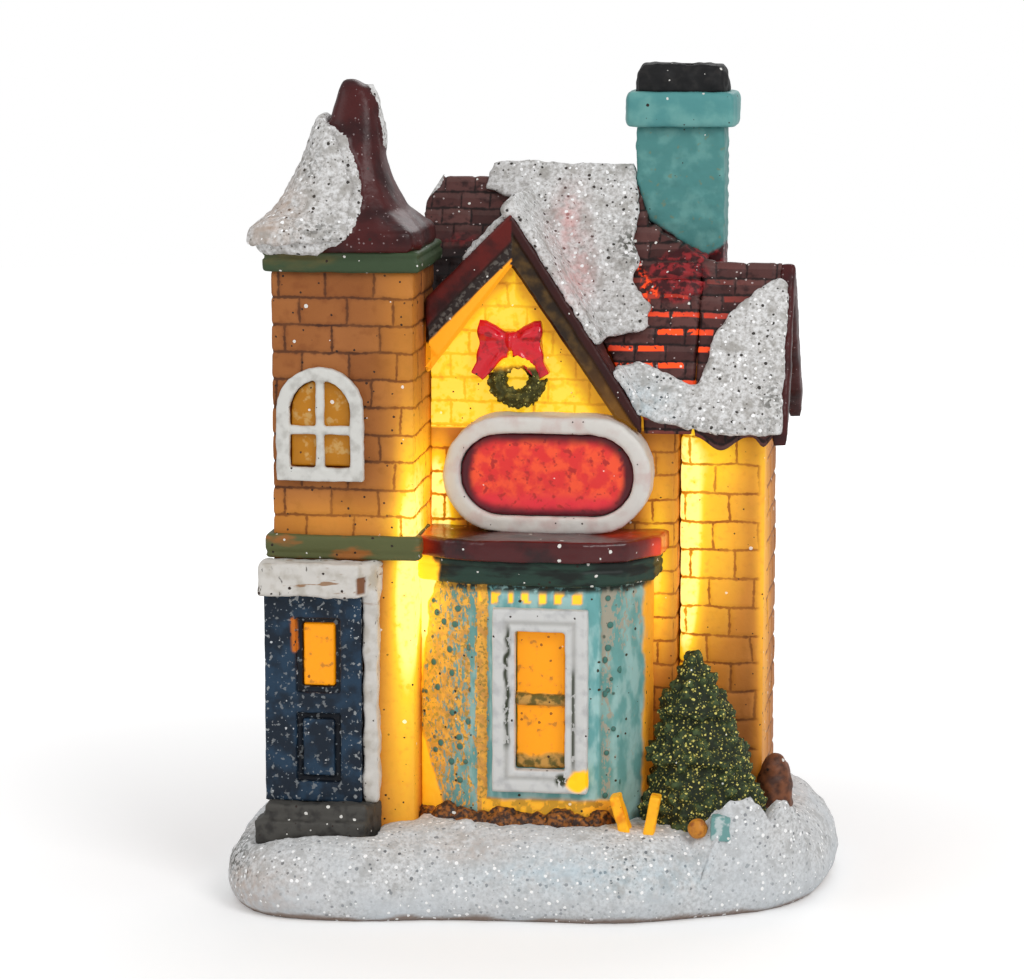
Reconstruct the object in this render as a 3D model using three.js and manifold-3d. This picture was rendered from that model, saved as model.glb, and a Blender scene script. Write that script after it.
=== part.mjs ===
// A lit Christmas village shop: a hand-painted resin house about 12 cm tall on a snow base,
// with a small battery light module pushed into its underside.
// Millimetres. X points to the right, Y to the back and Z up; the shop front faces -Y.
// The origin is the middle of the base's underside.
import * as THREE from 'three';
import { mergeVertices } from 'three/addons/utils/BufferGeometryUtils.js';
import Module from 'manifold-3d';

const wasm = await Module();
wasm.setup();

// Clearances
const FIT = 0.3; // between two castings that are cut to each other
const PANE_FIT = 0.2; // round a window pane in its opening
const WALL = 2.2; // thickness of the cast walls
const OVER = 1; // how far a cutting solid runs past the piece that it cuts
const FAR = 60; // reach of a cutting solid that has to pass the whole house
const GRID = 512; // steps to a millimetre of the grid on which every point ends

// Snow base
const BASE_WIDTH = 86;
const BASE_DEPTH = 66;
const MOUND_HEIGHT = 11.2;
const SEAT_DEPTH = 2.2; // how far the walls sink into the snow

// Tower
const TOWER_LEFT = -35.5;
const TOWER_WIDTH = 20.1;
const TOWER_FRONT = -18.7;
const TOWER_DEPTH = 18.5;
const TOWER_WALL_HEIGHT = 80.6;
const CORNICE_HEIGHT = 2.7;
const CORNICE_REACH = 0.9;
const COURSE_RISE = 40.2; // from the walls' foot to the string course
const COURSE_HEIGHT = 3.1;
const COURSE_REACH = 0.9;
const SPIRE_HALF_WIDTH = 11.5;
const SPIRE_HALF_DEPTH = 11;
const SPIRE_EAVE_HEIGHT = 2.7;
const SPIRE_HEIGHT = 20.6; // above its eave
const SPIRE_LEAN = 1.3;
const SPIRE_OFFSET_X = -0.7; // from the tower's middle
const SPIRE_OFFSET_Y = -0.3;

// Shop block and wing
const SHOP_WIDTH = 35.3;
const SHOP_FRONT = -6;
const SHOP_DEPTH = 33;
const WING_WIDTH = 12;
const WING_FRONT = -3.5;
const WING_DEPTH = 23.5;
const PASSAGE_WIDTH = 14; // openings between the blocks, which let the light through
const PASSAGE_HEIGHT = 51;
const BAY_OPENING_SIDE = 6; // shop wall left standing beside the bay's opening
const BAY_OPENING_EDGE = 3; // and below and above it

// Roofs
const EAVE_Y = -8;
const EAVE_Z = 69;
const PITCH_DEG = 57.5;
const ROOF_THICKNESS = 1.7;
const SHINGLE_ROW = 2.3; // height of a shingle row
const SHINGLE_STEP = 0.7;
const MAIN_RIDGE_Z = 100.6;
const MAIN_BACK_EAVE = [30, 70];
const MAIN_VERGE = 3.1; // overhang at the left end
const MAIN_RIGHT_OVERHANG = 2.3;
const HIP_X = 12.2; // where the hipped right end starts on the ridge
const HIP_KNEE = [14.3, 94.2]; // where it turns flatter, in front of the chimney
const HIP_SLOPE = 0.64;
const WING_RIDGE_Z = 89.2;
const WING_BACK_EAVE = [24, 69];
const WING_ROOF_OVERHANG = 1.4;
const BARGE_WIDTH = 2;
const BARGE_DROP = 1.4;

// Gable over the shop front
const GABLE_APEX_X = -3;
const GABLE_APEX_Z = 97;
const GABLE_LEFT_SLOPE = 1.0;
const GABLE_RIGHT_SLOPE = 1.558;
const GABLE_FOOT_X = 15.4;
const GABLE_FOOT_HEIGHT = 2;
const GABLE_ROOF_DROP = 4;
const GABLE_OVERHANG = 4;
const FASCIA_THICKNESS = 1.5;
const FASCIA_INNER_APEX_DROP = 7.2;
const FASCIA_INNER_LEFT_SLOPE = 1.29;
const FASCIA_INNER_RIGHT_SLOPE = 1.448;

// Chimney
const CHIMNEY_LEFT = 12.5;
const CHIMNEY_WIDTH = 12.6;
const CHIMNEY_FRONT = 11;
const CHIMNEY_DEPTH = 7.5;
const CHIMNEY_TOP = 108.2;
const COLLAR_HEIGHT = 4.8;
const COLLAR_REACH = 1.7;
const CAP_HEIGHT = 3.9;
const CAP_TAPER = 0.7;
const FLUE_WALL_X = 3;
const FLUE_WALL_Y = 2.2;

// Door
const DOOR_LEFT_INSET = -0.8; // from the tower's left corner
const DOOR_WIDTH = 13.7;
const DOOR_THICKNESS = 3;
const DOOR_HEIGHT = 29.8;
const DOOR_PANEL_DEPTH = 1;
const DOOR_WINDOW_WIDTH = 4.8;
const DOOR_WINDOW_HEIGHT = 9.2;
const DOOR_WINDOW_RISE = 16.4;
const DOOR_WINDOW_INSET = 5.2;
const DOOR_RAIL = 2.8; // below and between the panels
const DOOR_MOULDING = 0.8; // recess round the window
const DOOR_FIELD_INSET = 1; // raised field in the lower panel
const DOOR_FIELD_DROP = 0.3;
const LINTEL_HEIGHT = 4.4;
const LINTEL_REACH = 4.5;
const LINTEL_SIDE = 0.5;
const LINTEL_RETURN = 2.7;
const JAMB_WIDTH = 1.9;
const STEP_REACH = 6.5;
const STEP_LOWER_HEIGHT = 3.4;
const STEP_UPPER_HEIGHT = 2.2;
const STEP_TREAD = 1.2;
const STEP_SIDE = 0.9;

// Shop bay
const BAY_FRONT = -18.3;
const BAY_RIGHT_INSET = 3.1; // from the shop's right corner
const BAY_HEIGHT = 37.2;
const BAY_CORNICE_HEIGHT = 3.2;
const BAY_CORNICE_REACH = 1;
const LEDGE_HEIGHT = 2.8;
const LEDGE_REACH = 2.2;
const BAY_WINDOW_LEFT = -1.1;
const BAY_WINDOW_WIDTH = 7.2;
const BAY_WINDOW_HEIGHT = 19.9;
const BAY_WINDOW_RISE = 10.6; // sill above the walls' foot
const BAY_FRAME_WIDTH = 3.1;
const BAY_FRAME_THICKNESS = 1.7;
const PANE_THICKNESS = 1.2;
const PANE_RAIL = 1; // cross rail in the middle of the pane
const PANE_RAIL_DEPTH = 0.5;

// Tower window
const ARCH_INSET = 6.9; // its middle from the tower's left corner
const ARCH_HALF_WIDTH = 4.4;
const ARCH_HEIGHT = 12.5;
const ARCH_RISE = 52.9; // sill above the walls' foot
const ARCH_FRAME_WIDTH = 1.7;
const ARCH_FRAME_THICKNESS = 1.1;
const MUNTIN_WIDTH = 1;
const MUNTIN_DROP = 0.2;
const MUNTIN_SHARE = 0.43; // height of the cross bar in the window

// Sign
const SIGN_X = 2.4;
const SIGN_WIDTH = 29.4;
const SIGN_HEIGHT = 16.4;
const SIGN_THICKNESS = 6.5;
const SIGN_RIM = 2.2;
const SIGN_RECESS = 1;

// Wreath and bow on the gable
const WREATH_X = -2.4;
const WREATH_RADIUS = 2.9;
const WREATH_TUBE = 1.5;
const WREATH_GAP = 0.5; // above the sign
const WREATH_SINK = 0.3; // flat back against the wall
const BOW_X = -3.4;
const BOW_RISE = 5.1; // above the wreath's middle
const BOW_DEPTH = 2.6;
const BOW_TAIL_DEPTH = 2.1;

// Garden
const TREE_X = 25;
const TREE_Y = -11;
const TREE_RADIUS = 9;
const TREE_HEIGHT = 25;
const TREE_LEAN = -2.2;
const ROCK_X = 34.4;
const ROCK_Y = -4.6;
const ROCK_RADIUS = 3;
const EDGING_RADIUS = 1.9;
const EDGING_SPACING = 2.7;
const EDGING_UNEVENNESS = 0.22;
const BALL_RADIUS = 1.3;
const PARCEL_SIZE = [2.6, 2.4, 3.2];
const SLAB_SIZE = [1.3, 3, 6];
const SLAB_STAND_OFF = 1.9; // in front of the bay
const SLAB_SINK = 0.5;
const LEFT_SLAB_LEAN = -16;
const RIGHT_SLAB_LEAN = 10;

// Snow on the roofs
const ROOF_SNOW = 2.2; // height of the snow above the tiles, measured upright
const SNOW_OVERHANG = 1.5; // past the eave
const SPIRE_SNOW = 1.3;
const TOWER_SNOW_DEPTH = 12.3; // from the tower's front

// Light module
const MODULE_SIDE_ROOM = 0.95; // between the module and the shop's side walls
const MODULE_END_ROOM = 1.3; // and its front and back walls
const MODULE_RECESS = 0.8; // underside above the table
const MODULE_WALL = 1.2;
const MODULE_FIT = 0.2;
const CELL_DIAMETER = 11.6;
const CELL_THICKNESS = 5.4;
const CELL_POLE = 0.3; // height of its smaller pole
const CELL_COUNT = 3;
const CELL_FIT = 0.25;
const CELL_GAP = 0.05; // between two cells of the stack
const CELL_BAY_INSET = 3; // from the module's left side
const CONTACT_SPACE = 1.3; // room for the spring contact
const CONTACT_THICKNESS = 0.4;
const CONTACT_FIT = 0.1; // between a contact, the bay's wall and the stack
const CONTACT_HALF_WIDTH = 2.6; // of the spring contact
const TAIL_HALF_WIDTH = 1; // tails of the contacts, soldered to the board
const BATTERY_DOOR_THICKNESS = 1.6;
const BATTERY_DOOR_INSET = 2.6; // of its free edge from the module's side
const DOOR_LAP = 0.4; // of the battery door past the cell bay
const DOOR_GRIP = [6, 0.9, 0.5]; // width, reach and depth of the nail notch at its free edge
const HINGE_STUB_RADIUS = 0.5;
const HINGE_STUB_LENGTH = 0.7;
const HINGE_STUB_FIT = 0.15;
const SCREW_RADIUS = 1;
const SCREW_SWING_FIT = 0.65; // lets the captive screw swing out with the door
const SCREW_HEAD_RADIUS = 1.9;
const SCREW_HEAD_HEIGHT = 1;
const SCREW_SLOT = [2.4, 0.5, 0.5]; // length, width and depth of the cross slot's arms
const SCREW_LENGTH = 4.2;
const SCREW_END_ROOM = 1.2; // above its tip
const SCREW_INSET = 2.3; // from the door's free edge
const SWITCH_TRAVEL = 3;
const SWITCH_BODY = [10.4, 4.4, 3.6];
const SWITCH_KNOB = [2.4, 1.6];
const SWITCH_CARRIER = [4, 2.8, 1.2];
const SWITCH_STAND_OUT = 0.45; // knob below the module's underside
const BOARD_THICKNESS = 1.2;
const BOARD_INSET = 1;
const LED_RADIUS = 2.5;
const LED_FLANGE = 0.4;
const LED_LENGTH = 7;
const LED_STAND_OFF = 0.5; // from the walls beside it
const LED_LEFT_Z = 51;
const LED_RIGHT_Z = 42;
const WIRE_RADIUS = 0.7;
const WIRE_FIT = 0.2; // below the lamp
const LEFT_WIRE = [5, 14, 12]; // straight rise, height of its middle, straight run up to the lamp
const RIGHT_WIRE = [3, 9, 9];
const WIRE_FOOT_INSET = 4.2; // from the module's edge
const RESISTOR_RADIUS = 1;
const RESISTOR_LENGTH = 5.6;
const RESISTOR_PLACE = [2, 6]; // from the module's middle
const LEAD_RADIUS = 0.35;
const LEAD_INSET = 0.8;

// Levels and edges worked out from the sizes above
const seatZ = MOUND_HEIGHT - SEAT_DEPTH;
const towerRight = TOWER_LEFT + TOWER_WIDTH;
const towerBack = TOWER_FRONT + TOWER_DEPTH;
const towerTop = seatZ + TOWER_WALL_HEIGHT;
const shopLeft = towerRight + FIT;
const shopRight = shopLeft + SHOP_WIDTH;
const shopBack = SHOP_FRONT + SHOP_DEPTH;
const wingLeft = shopRight + FIT;
const wingRight = wingLeft + WING_WIDTH;
const wingBack = WING_FRONT + WING_DEPTH;
const pitch = Math.tan(THREE.MathUtils.degToRad(PITCH_DEG));
const roofDrop = ROOF_THICKNESS / Math.cos(THREE.MathUtils.degToRad(PITCH_DEG));
const mainRidge = [EAVE_Y + (MAIN_RIDGE_Z - EAVE_Z) / pitch, MAIN_RIDGE_Z];
const wingRidge = [EAVE_Y + (WING_RIDGE_Z - EAVE_Z) / pitch, WING_RIDGE_Z];
const mainLeft = shopLeft - MAIN_VERGE;
const mainRight = shopRight + MAIN_RIGHT_OVERHANG;
const wingRoofRight = wingRight + WING_ROOF_OVERHANG;
const bargeRight = wingRoofRight + BARGE_WIDTH;
const gableFront = SHOP_FRONT - GABLE_OVERHANG;
const bayTop = seatZ + BAY_HEIGHT;
const bayRight = shopRight - BAY_RIGHT_INSET;
const bayCorniceTop = bayTop + BAY_CORNICE_HEIGHT;
const ledgeTop = bayCorniceTop + LEDGE_HEIGHT;
const stepTop = seatZ + STEP_LOWER_HEIGHT + STEP_UPPER_HEIGHT;
const doorLeft = TOWER_LEFT + DOOR_LEFT_INSET;
const doorTop = stepTop + DOOR_HEIGHT;

// Closed three.js geometry as a solid that can be joined and cut
function solid(geometry) {
  const bare = new THREE.BufferGeometry();
  bare.setAttribute('position', geometry.getAttribute('position'));
  if (geometry.index) bare.setIndex(geometry.index);
  const merged = mergeVertices(bare, 1e-4);
  return new wasm.Manifold(new wasm.Mesh({
    numProp: 3,
    vertProperties: Float32Array.from(merged.getAttribute('position').array),
    triVerts: Uint32Array.from(merged.index.array),
  }));
}

// Solid as a geometry, with points that all but coincide joined and the flat triangles between them gone
function cleanGeometry(shape) {
  const mesh = shape.getMesh();
  const points = Float32Array.from(mesh.vertProperties, (value) => Math.round(value * GRID) / GRID);
  const bare = new THREE.BufferGeometry();
  bare.setAttribute('position', new THREE.BufferAttribute(points, 3));
  bare.setIndex(new THREE.BufferAttribute(Uint32Array.from(mesh.triVerts), 1));
  const geometry = mergeVertices(bare, 0.1 / GRID);
  const corners = geometry.index.array;
  const kept = [];
  for (let i = 0; i < corners.length; i += 3) {
    const [a, b, c] = corners.slice(i, i + 3);
    if (a !== b && b !== c && c !== a) kept.push(a, b, c);
  }
  geometry.setIndex(kept);
  geometry.computeVertexNormals();
  return geometry;
}

// Joins any number of solids
function join(first, ...others) {
  return others.reduce((whole, next) => whole.add(next), first);
}

// Cuts any number of solids out of the first
function cut(first, ...others) {
  return others.reduce((whole, next) => whole.subtract(next), first);
}

// Upright block between two corners
function block(x0, x1, y0, y1, z0, z1) {
  const box = new THREE.BoxGeometry(x1 - x0, y1 - y0, z1 - z0);
  box.translate((x0 + x1) / 2, (y0 + y1) / 2, (z0 + z1) / 2);
  return solid(box);
}

// Outline pushed straight along one axis, placed by the directions of its own axes
function pushed(points, length, right, up, along, start) {
  const shape = new THREE.Shape(points.map(([a, b]) => new THREE.Vector2(a, b)));
  const geometry = new THREE.ExtrudeGeometry(shape, { depth: length, bevelEnabled: false });
  const place = new THREE.Matrix4().makeBasis(right, up, along).setPosition(start);
  geometry.applyMatrix4(place);
  return solid(geometry);
}

const AXIS_X = new THREE.Vector3(1, 0, 0);
const AXIS_Y = new THREE.Vector3(0, 1, 0);
const AXIS_Z = new THREE.Vector3(0, 0, 1);

// Outline of (y, z) points, pushed from x0 to x1
function alongX(points, x0, x1) {
  return pushed(points, x1 - x0, AXIS_Y, AXIS_Z, AXIS_X, new THREE.Vector3(x0, 0, 0));
}

// Outline of (x, z) points, pushed from y0 to y1
function alongY(points, y0, y1) {
  return pushed(points, y1 - y0, AXIS_X, AXIS_Z, AXIS_Y.clone().negate(), new THREE.Vector3(0, y1, 0));
}

// Outline of (x, y) points, pushed from z0 to z1
function alongZ(points, z0, z1) {
  return pushed(points, z1 - z0, AXIS_X, AXIS_Y, AXIS_Z, new THREE.Vector3(0, 0, z0));
}

// Solid through a stack of rings that all have the same number of points
function loft(rings) {
  const count = rings[0].length;
  const vertices = rings.flat().flatMap((point) => [point.x, point.y, point.z]);
  const indices = [];
  for (let level = 0; level + 1 < rings.length; level += 1) {
    for (let i = 0; i < count; i += 1) {
      const a = level * count + i;
      const b = level * count + ((i + 1) % count);
      indices.push(a, b, b + count, a, b + count, a + count);
    }
  }
  const capAt = (ring, first, flip) => {
    const middle = ring.reduce((sum, point) => sum.add(point), new THREE.Vector3()).divideScalar(count);
    const centre = vertices.length / 3;
    vertices.push(middle.x, middle.y, middle.z);
    for (let i = 0; i < count; i += 1) {
      const a = first + i;
      const b = first + ((i + 1) % count);
      indices.push(centre, flip ? b : a, flip ? a : b);
    }
  };
  capAt(rings[0], 0, true);
  capAt(rings[rings.length - 1], (rings.length - 1) * count, false);
  const geometry = new THREE.BufferGeometry();
  geometry.setAttribute('position', new THREE.Float32BufferAttribute(vertices, 3));
  geometry.setIndex(indices);
  return solid(geometry);
}

// Round-cornered square ring; a power above 2 squares it up
function squareRing(x, y, z, halfX, halfY, power = 5, count = 24) {
  const ring = [];
  for (let i = 0; i < count; i += 1) {
    const angle = (i / count) * Math.PI * 2;
    const c = Math.cos(angle);
    const s = Math.sin(angle);
    const radius = 1 / (Math.abs(c) ** power + Math.abs(s) ** power) ** (1 / power);
    ring.push(new THREE.Vector3(x + c * radius * halfX, y + s * radius * halfY, z));
  }
  return ring;
}

// Round lump with its own radius along each axis
function lump(x, y, z, radiusX, radiusY, radiusZ, around = 10) {
  const sphere = new THREE.SphereGeometry(1, around, Math.max(6, Math.round(around * 0.7)));
  sphere.rotateX(Math.PI / 2);
  sphere.scale(radiusX, radiusY, radiusZ);
  sphere.translate(x, y, z);
  return solid(sphere);
}

// Upright round bar
function bar(x, y, z0, z1, radius, sides = 20) {
  const cylinder = new THREE.CylinderGeometry(radius, radius, z1 - z0, sides);
  cylinder.rotateX(Math.PI / 2);
  cylinder.translate(x, y, (z0 + z1) / 2);
  return solid(cylinder);
}

// Open line of points moved sideways by a distance, mitred at its corners
function offsetLine(points, distance) {
  const normal = (a, b) => {
    const length = Math.hypot(b[0] - a[0], b[1] - a[1]);
    return [(b[1] - a[1]) / length, (a[0] - b[0]) / length];
  };
  return points.map((point, i) => {
    const before = normal(points[Math.max(i - 1, 0)], points[Math.max(i, 1)]);
    const after = normal(points[Math.min(i, points.length - 2)], points[Math.min(i + 1, points.length - 1)]);
    const sum = [before[0] + after[0], before[1] + after[1]];
    const scale = (2 * distance) / (sum[0] ** 2 + sum[1] ** 2);
    return [point[0] + sum[0] * scale, point[1] + sum[1] * scale];
  });
}

// Closed counter-clockwise outline grown all round by a distance
function grownOutline(points, distance) {
  const last = points[points.length - 1];
  return offsetLine([last, ...points, points[0]], distance).slice(1, -1);
}

// Window with a round head: outline of (x, z) points
function archOutline(x, sill, halfWidth, height, grow = 0, steps = 12) {
  const radius = halfWidth + grow;
  const spring = sill + height - halfWidth;
  const outline = [[x - radius, sill - grow], [x + radius, sill - grow]];
  for (let i = 0; i <= steps; i += 1) {
    const angle = (i / steps) * Math.PI;
    outline.push([x + Math.cos(angle) * radius, spring + Math.sin(angle) * radius]);
  }
  return outline;
}

// Long oval with round ends: outline of (x, z) points
function ovalOutline(x, z, width, height, steps = 12) {
  const radius = height / 2;
  const reach = width / 2 - radius;
  const outline = [];
  for (const side of [1, -1]) {
    for (let i = 0; i <= steps; i += 1) {
      const angle = (i / steps - 0.5) * Math.PI + (side < 0 ? Math.PI : 0);
      outline.push([x + side * reach + Math.cos(angle) * radius, z + Math.sin(angle) * radius]);
    }
  }
  return outline;
}

// Ground plan of the base, as shares of its half width and half depth
const BASE_PLAN = [
  [-1, -0.39], [-0.965, -0.73], [-0.87, -0.92], [-0.76, -0.99], [-0.51, -1], [-0.26, -0.93],
  [0.08, -0.9], [0.35, -0.88], [0.6, -0.74], [0.83, -0.56], [0.944, -0.33], [0.99, 0],
  [1, 0.24], [0.965, 0.55], [0.86, 0.79], [0.67, 0.94], [0.33, 1], [-0.12, 0.98],
  [-0.51, 1], [-0.79, 0.94], [-0.93, 0.73], [-0.986, 0.36], [-1, 0],
];
// Inset from the widest line in mm, and the share of the mound's height
const MOUND_PROFILE = [[1.4, 0], [0.4, 0.12], [0, 0.3], [0.6, 0.55], [2, 0.76], [4.4, 0.91], [8, 1]];
const BASE_POINTS = 52;

function snowMound() {
  const corners = BASE_PLAN.map(([x, y]) => new THREE.Vector3(x, y, 0));
  const curve = new THREE.CatmullRomCurve3(corners, true);
  const plan = curve.getPoints(BASE_POINTS).slice(0, BASE_POINTS);
  const box = new THREE.Box3().setFromPoints(plan);
  const centre = box.getCenter(new THREE.Vector3());
  const size = box.getSize(new THREE.Vector3());
  return loft(MOUND_PROFILE.map(([inset, share]) => plan.map((point) => new THREE.Vector3(
    ((point.x - centre.x) / size.x) * (BASE_WIDTH - 2 * inset),
    ((point.y - centre.y) / size.y) * (BASE_DEPTH - 2 * inset),
    share * MOUND_HEIGHT,
  ))));
}

// Front line of the bow-fronted bay, from the tower to the shop's right side
const BAY_LINE = [
  [shopLeft, BAY_FRONT + 3.8],
  [shopLeft + 5.1, BAY_FRONT + 1.1],
  [shopLeft + 10.3, BAY_FRONT],
  [bayRight - 8.9, BAY_FRONT],
  [bayRight - 4, BAY_FRONT + 2.1],
  [bayRight - 0.6, BAY_FRONT + 6.6],
  [bayRight, SHOP_FRONT],
];

// Place on Y of the bay's front line at a place on X
function bayLineY(x) {
  const next = Math.max(1, BAY_LINE.findIndex((point) => point[0] > x));
  const [a, b] = [BAY_LINE[next - 1], BAY_LINE[next]];
  return a[1] + ((b[1] - a[1]) * (x - a[0])) / (b[0] - a[0]);
}

// The bay's plan grown outward by a distance, from the shop wall forward
function bayPlan(distance) {
  const line = offsetLine(BAY_LINE, distance);
  line[0][0] = shopLeft;
  line[line.length - 1][1] = SHOP_FRONT;
  return [[shopLeft, SHOP_FRONT], ...line];
}

// Region below a pitched roof: outline of (y, z) points, raised by a lift and run on past the eaves
function underRoof(ridge, backEave, lift, reach) {
  const backSlope = (ridge[1] - backEave[1]) / (backEave[0] - ridge[0]);
  return [
    [EAVE_Y - reach, seatZ],
    [EAVE_Y - reach, EAVE_Z - reach * pitch + lift],
    [ridge[0], ridge[1] + lift],
    [backEave[0] + reach, backEave[1] - reach * backSlope + lift],
    [backEave[0] + reach, seatZ],
  ];
}

// The same region with its two slopes stepped in rows of shingles
function shingled(ridge, backEave) {
  const slope = (eave) => {
    const rows = Math.max(1, Math.round((ridge[1] - eave[1]) / SHINGLE_ROW));
    const points = [];
    for (let row = 0; row < rows; row += 1) {
      const at = (share) => [
        eave[0] + (ridge[0] - eave[0]) * share,
        eave[1] + (ridge[1] - eave[1]) * share,
      ];
      points.push(at(row / rows));
      const [y, z] = at((row + 1) / rows);
      if (row + 1 < rows) points.push([y, z - SHINGLE_STEP]);
    }
    return points;
  };
  const front = slope([EAVE_Y, EAVE_Z]);
  const back = slope(backEave).reverse();
  return [[EAVE_Y, seatZ], ...front, ridge, ...back, [backEave[0], seatZ]];
}

// Everything above the hipped right end of the main roof
function aboveHip(lift) {
  const [kneeX, kneeZ] = HIP_KNEE;
  const end = kneeX + FAR;
  const top = MAIN_RIDGE_Z + FAR;
  const foot = kneeZ + lift - FAR * HIP_SLOPE;
  return alongY([
    [HIP_X, MAIN_RIDGE_Z + lift],
    [kneeX, kneeZ + lift],
    [end, foot],
    [end, top],
    [HIP_X, top],
  ], -FAR, FAR);
}

function underMainRoof(lift, reach = 0, side = 0) {
  const outline = underRoof(mainRidge, MAIN_BACK_EAVE, lift, reach);
  return cut(alongX(outline, mainLeft - side, mainRight + side), aboveHip(lift));
}

function underWingRoof(lift, reach = 0, side = 0, left = mainRight + FIT) {
  return alongX(underRoof(wingRidge, WING_BACK_EAVE, lift, reach), left - side, bargeRight + side);
}

// Height of the cross gable's roof over a place on X
function gableTop(x) {
  const slope = x < GABLE_APEX_X ? GABLE_LEFT_SLOPE : GABLE_RIGHT_SLOPE;
  return GABLE_APEX_Z - Math.abs(x - GABLE_APEX_X) * slope;
}

// Region below the cross gable's roof, back to the main ridge
function underGable(lift, side = 0, front = gableFront) {
  const left = shopLeft - side;
  const right = GABLE_FOOT_X + side;
  const outline = [
    [left, seatZ], [left, gableTop(left) + lift], [GABLE_APEX_X, GABLE_APEX_Z + lift],
    [right, gableTop(right) + lift], [right, seatZ],
  ];
  return alongY(outline, front, mainRidge[0]);
}

// Band of the cross gable's roof, grown all round by a distance
function gableBand(grow) {
  const left = shopLeft;
  const right = GABLE_FOOT_X + grow;
  const footZ = gableTop(GABLE_FOOT_X) - GABLE_FOOT_HEIGHT - grow;
  const drop = GABLE_ROOF_DROP + grow;
  const innerX = GABLE_APEX_X + (GABLE_APEX_Z - drop - footZ) / GABLE_RIGHT_SLOPE;
  return [
    [left, gableTop(left) + grow], [GABLE_APEX_X, GABLE_APEX_Z + grow], [right, gableTop(right) + grow],
    [right, footZ], [innerX, footZ], [GABLE_APEX_X, GABLE_APEX_Z - drop], [left, gableTop(left) - drop],
  ];
}

// The tower's whole space with a clearance round it
function towerSpace(grow) {
  return block(TOWER_LEFT - grow, towerRight + grow, TOWER_FRONT - grow, towerBack + grow, 0, towerTop);
}

// Rings of the spire's upright eave, as shares of its half width and of the eave's height
const SPIRE_EAVE = [[0.96, 0], [1, 0.3], [0.985, 1]];
// Rings of the concave spire: half width share, height share above the eave and share of its lean
const SPIRE_PROFILE = [
  [0.72, 0.13, 0], [0.6, 0.25, 0], [0.52, 0.34, 0.1], [0.435, 0.46, 0.25], [0.37, 0.58, 0.5],
  [0.31, 0.7, 0.8], [0.235, 0.86, 1], [0.17, 0.95, 0.8], [0.07, 1, 0.3],
];

function spire(grow) {
  const x = TOWER_LEFT + TOWER_WIDTH / 2 + SPIRE_OFFSET_X;
  const y = (TOWER_FRONT + towerBack) / 2 + SPIRE_OFFSET_Y;
  const foot = towerTop + CORNICE_HEIGHT;
  const eave = foot + SPIRE_EAVE_HEIGHT;
  const ringAt = (share, z, lean, power) => squareRing(
    x + lean,
    y,
    z,
    SPIRE_HALF_WIDTH * share + grow,
    SPIRE_HALF_DEPTH * share + grow,
    power,
  );
  const rings = SPIRE_EAVE.map(([share, height]) => ringAt(share, foot + height * SPIRE_EAVE_HEIGHT, 0, 9));
  for (const [share, height, lean] of SPIRE_PROFILE) {
    const z = eave + height * SPIRE_HEIGHT + grow * height;
    rings.push(ringAt(share, z, SPIRE_LEAN * lean, 3.2));
  }
  return loft(rings);
}

const archX = TOWER_LEFT + ARCH_INSET;
const archSill = seatZ + ARCH_RISE;
const doorWindowLeft = doorLeft + DOOR_WINDOW_INSET;
const doorWindowSill = stepTop + DOOR_WINDOW_RISE;

function doorWindowSpace(grow, y0, y1) {
  return block(
    doorWindowLeft - grow,
    doorWindowLeft + DOOR_WINDOW_WIDTH + grow,
    y0,
    y1,
    doorWindowSill - grow,
    doorWindowSill + DOOR_WINDOW_HEIGHT + grow,
  );
}

// Opening between two blocks of the house
function passage(x0, x1, front, width) {
  return block(x0, x1, front, front + width, seatZ - OVER, seatZ + PASSAGE_HEIGHT);
}

const towerPassageWidth = towerBack - SHOP_FRONT - 2 * WALL;

// Arched window outline, grown all round by a distance
function archShape(grow) {
  return archOutline(archX, archSill, ARCH_HALF_WIDTH, ARCH_HEIGHT, grow);
}

// Inside of the tower, from below its foot to above a level
function towerWell(z1) {
  return block(
    TOWER_LEFT + WALL,
    towerRight - WALL,
    TOWER_FRONT + WALL,
    towerBack - WALL,
    seatZ - OVER,
    z1 + OVER,
  );
}

// Walls of the tower, open at the top and the bottom
function towerWalls() {
  const outer = block(TOWER_LEFT, towerRight, TOWER_FRONT, towerBack, seatZ, towerTop);
  const window = alongY(archShape(0), TOWER_FRONT - OVER, TOWER_FRONT + WALL + OVER);
  const light = doorWindowSpace(0, TOWER_FRONT - OVER, TOWER_FRONT + WALL + OVER);
  const way = passage(towerRight - WALL - OVER, towerRight + OVER, SHOP_FRONT + WALL, towerPassageWidth);
  return cut(outer, towerWell(towerTop), window, light, way);
}

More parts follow.
